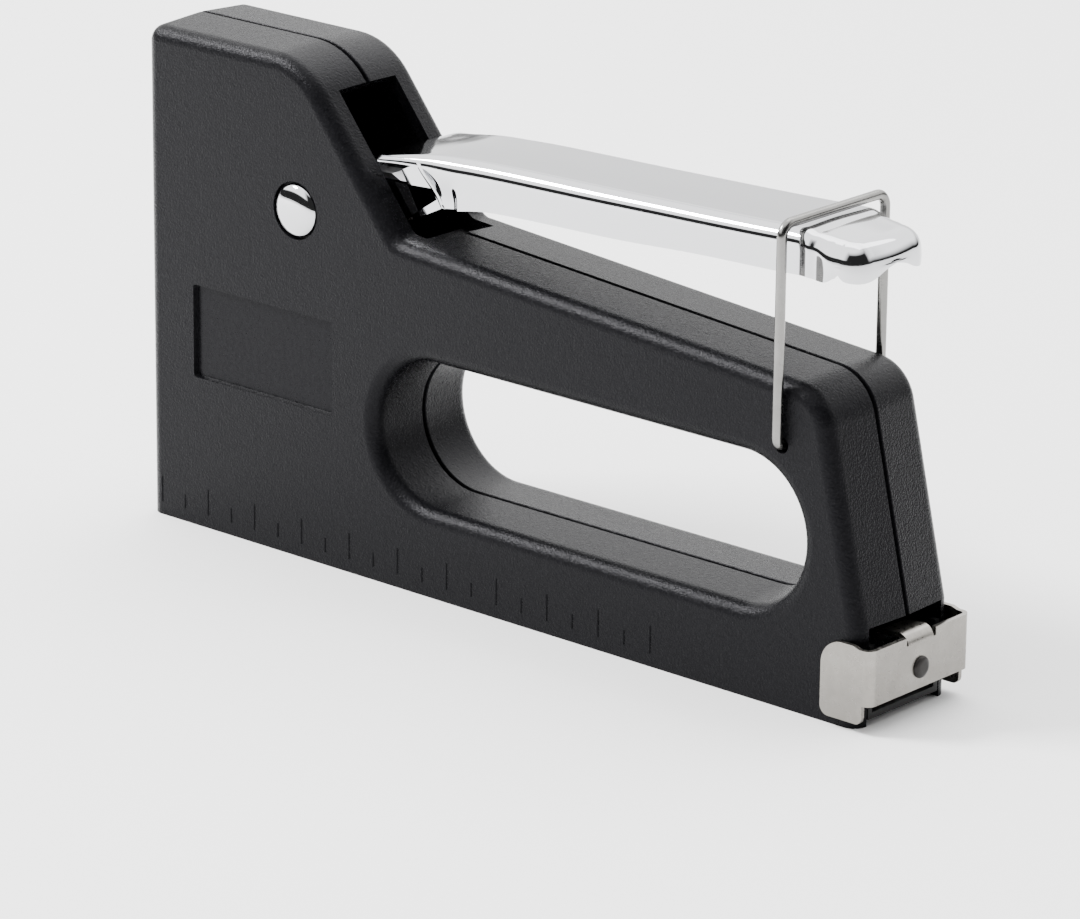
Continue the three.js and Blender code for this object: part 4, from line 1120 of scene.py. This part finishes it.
def add_end_cap():
    inner = HALF_WIDTH + CAP_GAP
    outer = inner + CAP_SHEET
    ear_front = CAP_REAR - CAP_EAR_LENGTH

    def band(half, rear, radius):
        return rounded_outline([(ear_front - 4, -half, 0), (rear, -half, radius),
                                (rear, half, radius), (ear_front - 4, half, 0)], 0, 7)

    cap = plan_prism("cap", band(outer, CAP_REAR, CAP_BEND), 0, CAP_TOP)
    cut(cap, plan_prism("inside", band(inner, CAP_REAR - CAP_SHEET, CAP_BEND - CAP_SHEET), -1, CAP_TOP + 1))
    bend_start = CAP_REAR - CAP_BEND
    view = side_prism("side view", rounded_outline([
        (ear_front, CAP_EAR_BOTTOM, 1.5),
        (bend_start + 0.1, CAP_EAR_BOTTOM, 1.1),
        (bend_start + 0.1, CAP_PLATE_BOTTOM, 0),
        (CAP_REAR + 1, CAP_PLATE_BOTTOM, 0),
        (CAP_REAR + 1, CAP_PLATE_TOP, 0),
        (bend_start - 0.6, CAP_PLATE_TOP, 0),
        (bend_start - 1.6, CAP_TOP, 0.8),
        (ear_front, CAP_TOP, 3.8),
    ]), -outer - 1, outer + 1)
    boolean(cap, "INTERSECT", view)

    def tab_bend(radius, steps):
        """The tab's bend as an arc of a given radius, its points in the order of steps."""
        angles = [math.pi / 2 * k / 12 for k in steps]
        return [(CAP_REAR - CAP_TAB_BEND + radius * math.cos(angle),
                 CAP_TOP - CAP_TAB_BEND + radius * math.sin(angle)) for angle in angles]

    tip = CAP_REAR - CAP_TAB_LENGTH
    foot = CAP_TOP - CAP_TAB_BEND - 1.0
    section = [(CAP_REAR, foot), *tab_bend(CAP_TAB_BEND, range(13)), (tip, CAP_TOP - 0.25),
               (tip, CAP_TOP - 0.25 - CAP_SHEET), *tab_bend(CAP_TAB_BEND - CAP_SHEET, range(12, -1, -1)),
               (CAP_REAR - CAP_SHEET, foot)]
    clear = block("clear", CAP_REAR - 1.2, CAP_REAR + 1, -CAP_TAB_HALF - 0.45, CAP_TAB_HALF + 0.45,
                  CAP_TOP - CAP_TAB_BEND + 0.3, CAP_TOP + 1)
    cut(cap, clear)
    join(cap, side_prism("tab", section[::-1], -CAP_TAB_HALF, CAP_TAB_HALF))
    bevel(cap, 0.2, 3)
    smooth(cap, 50)
    cap.name = cap.data.name = "cap_sheet"
    finish_piece(cap, NICKEL, "nickel", "magazine_drawer", "end_cap")

    profile = [(-8.0, CAP_RIVET_SHANK), (-CAP_SHEET, CAP_RIVET_SHANK), (-CAP_SHEET, CAP_RIVET_RADIUS),
               (CAP_RIVET_RIM, CAP_RIVET_RADIUS)]
    for k in range(1, 11):
        angle = math.pi / 2 * k / 10
        profile.append((CAP_RIVET_RIM + (CAP_RIVET_HEIGHT - CAP_RIVET_RIM) * math.sin(angle),
                        CAP_RIVET_FLAT + (CAP_RIVET_RADIUS - CAP_RIVET_FLAT) * math.cos(angle)))
    profile.append((CAP_RIVET_HEIGHT, 0.0))
    rivet = turned("cap_rivet_head", profile, (CAP_REAR, 0, ROD_HEIGHT), (1, 0, 0), 48)
    smooth(rivet, 35)
    finish_piece(rivet, DARK_RIVET, "black_steel", "magazine_drawer", "cap_rivet")


BROKEN_EDGE = 0.08


def soften_cad_nodes():
    """The CAD nodes that stay in view: smooth round faces, and edges broken by a fine bevel."""
    for obj in frame["nodes"].values():
        if obj.hide_render:
            continue
        obj.data.polygons.foreach_set("use_smooth", [True] * len(obj.data.polygons))
        obj.data.set_sharp_from_angle(angle=math.radians(32))
        modifier = obj.modifiers.new("broken edges", "BEVEL")
        modifier.width = BROKEN_EDGE * MM
        modifier.segments = 2
        modifier.limit_method = "ANGLE"
        modifier.angle_limit = math.radians(50)


# ---- Stage, light and camera -------------------------------------------------------------------

CAMERA_AZIMUTH = math.radians(41.24)
CAMERA_ELEVATION = math.radians(18.46)
CAMERA_ROLL = 0.0101
CAMERA_DISTANCE = 846.36
CAMERA_TARGET = (72.135, 0.0, 22.135)
CAMERA_LENS = 189.25
SENSOR_WIDTH = 36.0


def add_camera():
    data = bpy.data.cameras.new("camera")
    data.sensor_width = SENSOR_WIDTH
    data.lens = CAMERA_LENS
    data.clip_start = 0.01
    data.clip_end = 20
    camera = new_object("camera", data)
    cos_e, sin_e = math.cos(CAMERA_ELEVATION), math.sin(CAMERA_ELEVATION)
    cos_a, sin_a = math.cos(CAMERA_AZIMUTH), math.sin(CAMERA_AZIMUTH)
    back = Vector((sin_a * cos_e, -cos_a * cos_e, sin_e))
    right = Vector((cos_a, sin_a, 0))
    up = back.cross(right)
    cos_r, sin_r = math.cos(CAMERA_ROLL), math.sin(CAMERA_ROLL)
    across = right * cos_r + up * sin_r
    upright = up * cos_r - right * sin_r
    turn = Matrix((across, upright, back)).transposed().to_4x4()
    location = place(*CAMERA_TARGET) + back * (CAMERA_DISTANCE * MM)
    camera.matrix_world = Matrix.Translation(location) @ turn
    bpy.context.scene.camera = camera


def add_area_light(name, location, target, power, size, size_y=None):
    data = bpy.data.lights.new(name, "AREA")
    data.energy = power
    data.size = size
    if size_y:
        data.shape = "RECTANGLE"
        data.size_y = size_y
    light = new_object(name, data)
    light.location = location
    direction = Vector(target) - Vector(location)
    light.rotation_euler = direction.to_track_quat("-Z", "Y").to_euler()


def add_stage():
    floor_mesh = bpy.data.meshes.new("floor")
    reach = 6.0
    floor_mesh.from_pydata([(-reach, -reach, 0), (reach, -reach, 0), (reach, reach, 0), (-reach, reach, 0)],
                           [], [(0, 1, 2, 3)])
    floor = new_object("floor", floor_mesh)
    material, tree, shader = new_material("floor", (0.93, 0.93, 0.93), 0.9, 0.0)
    tree.links.new(remap(tree, noise(tree, 30, 2.0), 0.0, 1.0, 0.85, 0.95), shader.inputs["Roughness"])
    floor_mesh.materials.append(material)

    add_world()
    middle = (0, 0, 0.04)
    add_area_light("key", (-0.75, -0.5, 0.85), middle, power=29, size=0.36, size_y=0.2)
    add_area_light("top", (-0.15, 0.55, 1.1), middle, power=9, size=0.9)


def add_world():
    """A pale studio: bright on the left, overhead and at the far right, and dark low down.

    Each remap is one soft edge between bright and dark, along an axis of the view direction.
    """
    world = bpy.data.worlds.new("studio")
    bpy.context.scene.world = world
    world.use_nodes = True
    tree = world.node_tree
    background = tree.nodes["Background"]
    direction = tree.nodes.new("ShaderNodeTexCoord").outputs["Generated"]
    parts = tree.nodes.new("ShaderNodeSeparateXYZ")
    tree.links.new(direction, parts.inputs["Vector"])

    def combine(operation, first, second):
        node = tree.nodes.new("ShaderNodeMath")
        node.operation = operation
        tree.links.new(first, node.inputs[0])
        tree.links.new(second, node.inputs[1])
        return node.outputs["Value"]

    tilt = remap(tree, parts.outputs["Y"], -1.0, 1.0, -0.2, 0.2)
    height = combine("ADD", parts.outputs["Z"], tilt)
    above_band = remap(tree, height, 0.15, 0.2, 0.0, 1.0)
    left = remap(tree, parts.outputs["X"], -0.05, 0.25, 1.0, 0.0)
    overhead = remap(tree, parts.outputs["Z"], 0.75, 0.95, 0.0, 1.0)
    far_right = combine("MULTIPLY", remap(tree, parts.outputs["Y"], 0.25, 0.7, 0.0, 1.6),
                        remap(tree, parts.outputs["Z"], 0.1, 0.4, 0.0, 1.0))
    lit = combine("MULTIPLY", combine("MAXIMUM", combine("MAXIMUM", left, overhead), far_right), above_band)
    front = remap(tree, parts.outputs["Y"], 0.6, 0.4, 2.1, 3.4)
    light = combine("MULTIPLY", lit, front)
    tree.links.new(remap(tree, light, 0.0, 4.0, 0.04, 4.0), background.inputs["Strength"])
    background.inputs["Color"].default_value = (1, 1, 1, 1)


dress_cad_nodes()
housing_half(-1)
housing_half(1)
add_pivot_rivet(-1, "left_pivot_head", "pivot_rivet", shank_radius=3.0, shank_length=16.0)
add_pivot_rivet(1, "right_pivot_head", "pivot_rivet_cap", shank_radius=1.4, shank_length=4.0)
for number, (screw_x, screw_z) in enumerate(screw_places(), 1):
    add_screw(number, screw_x, screw_z)
add_springs()
add_bail()
add_lever()
add_end_cap()
soften_cad_nodes()
add_camera()
add_stage()
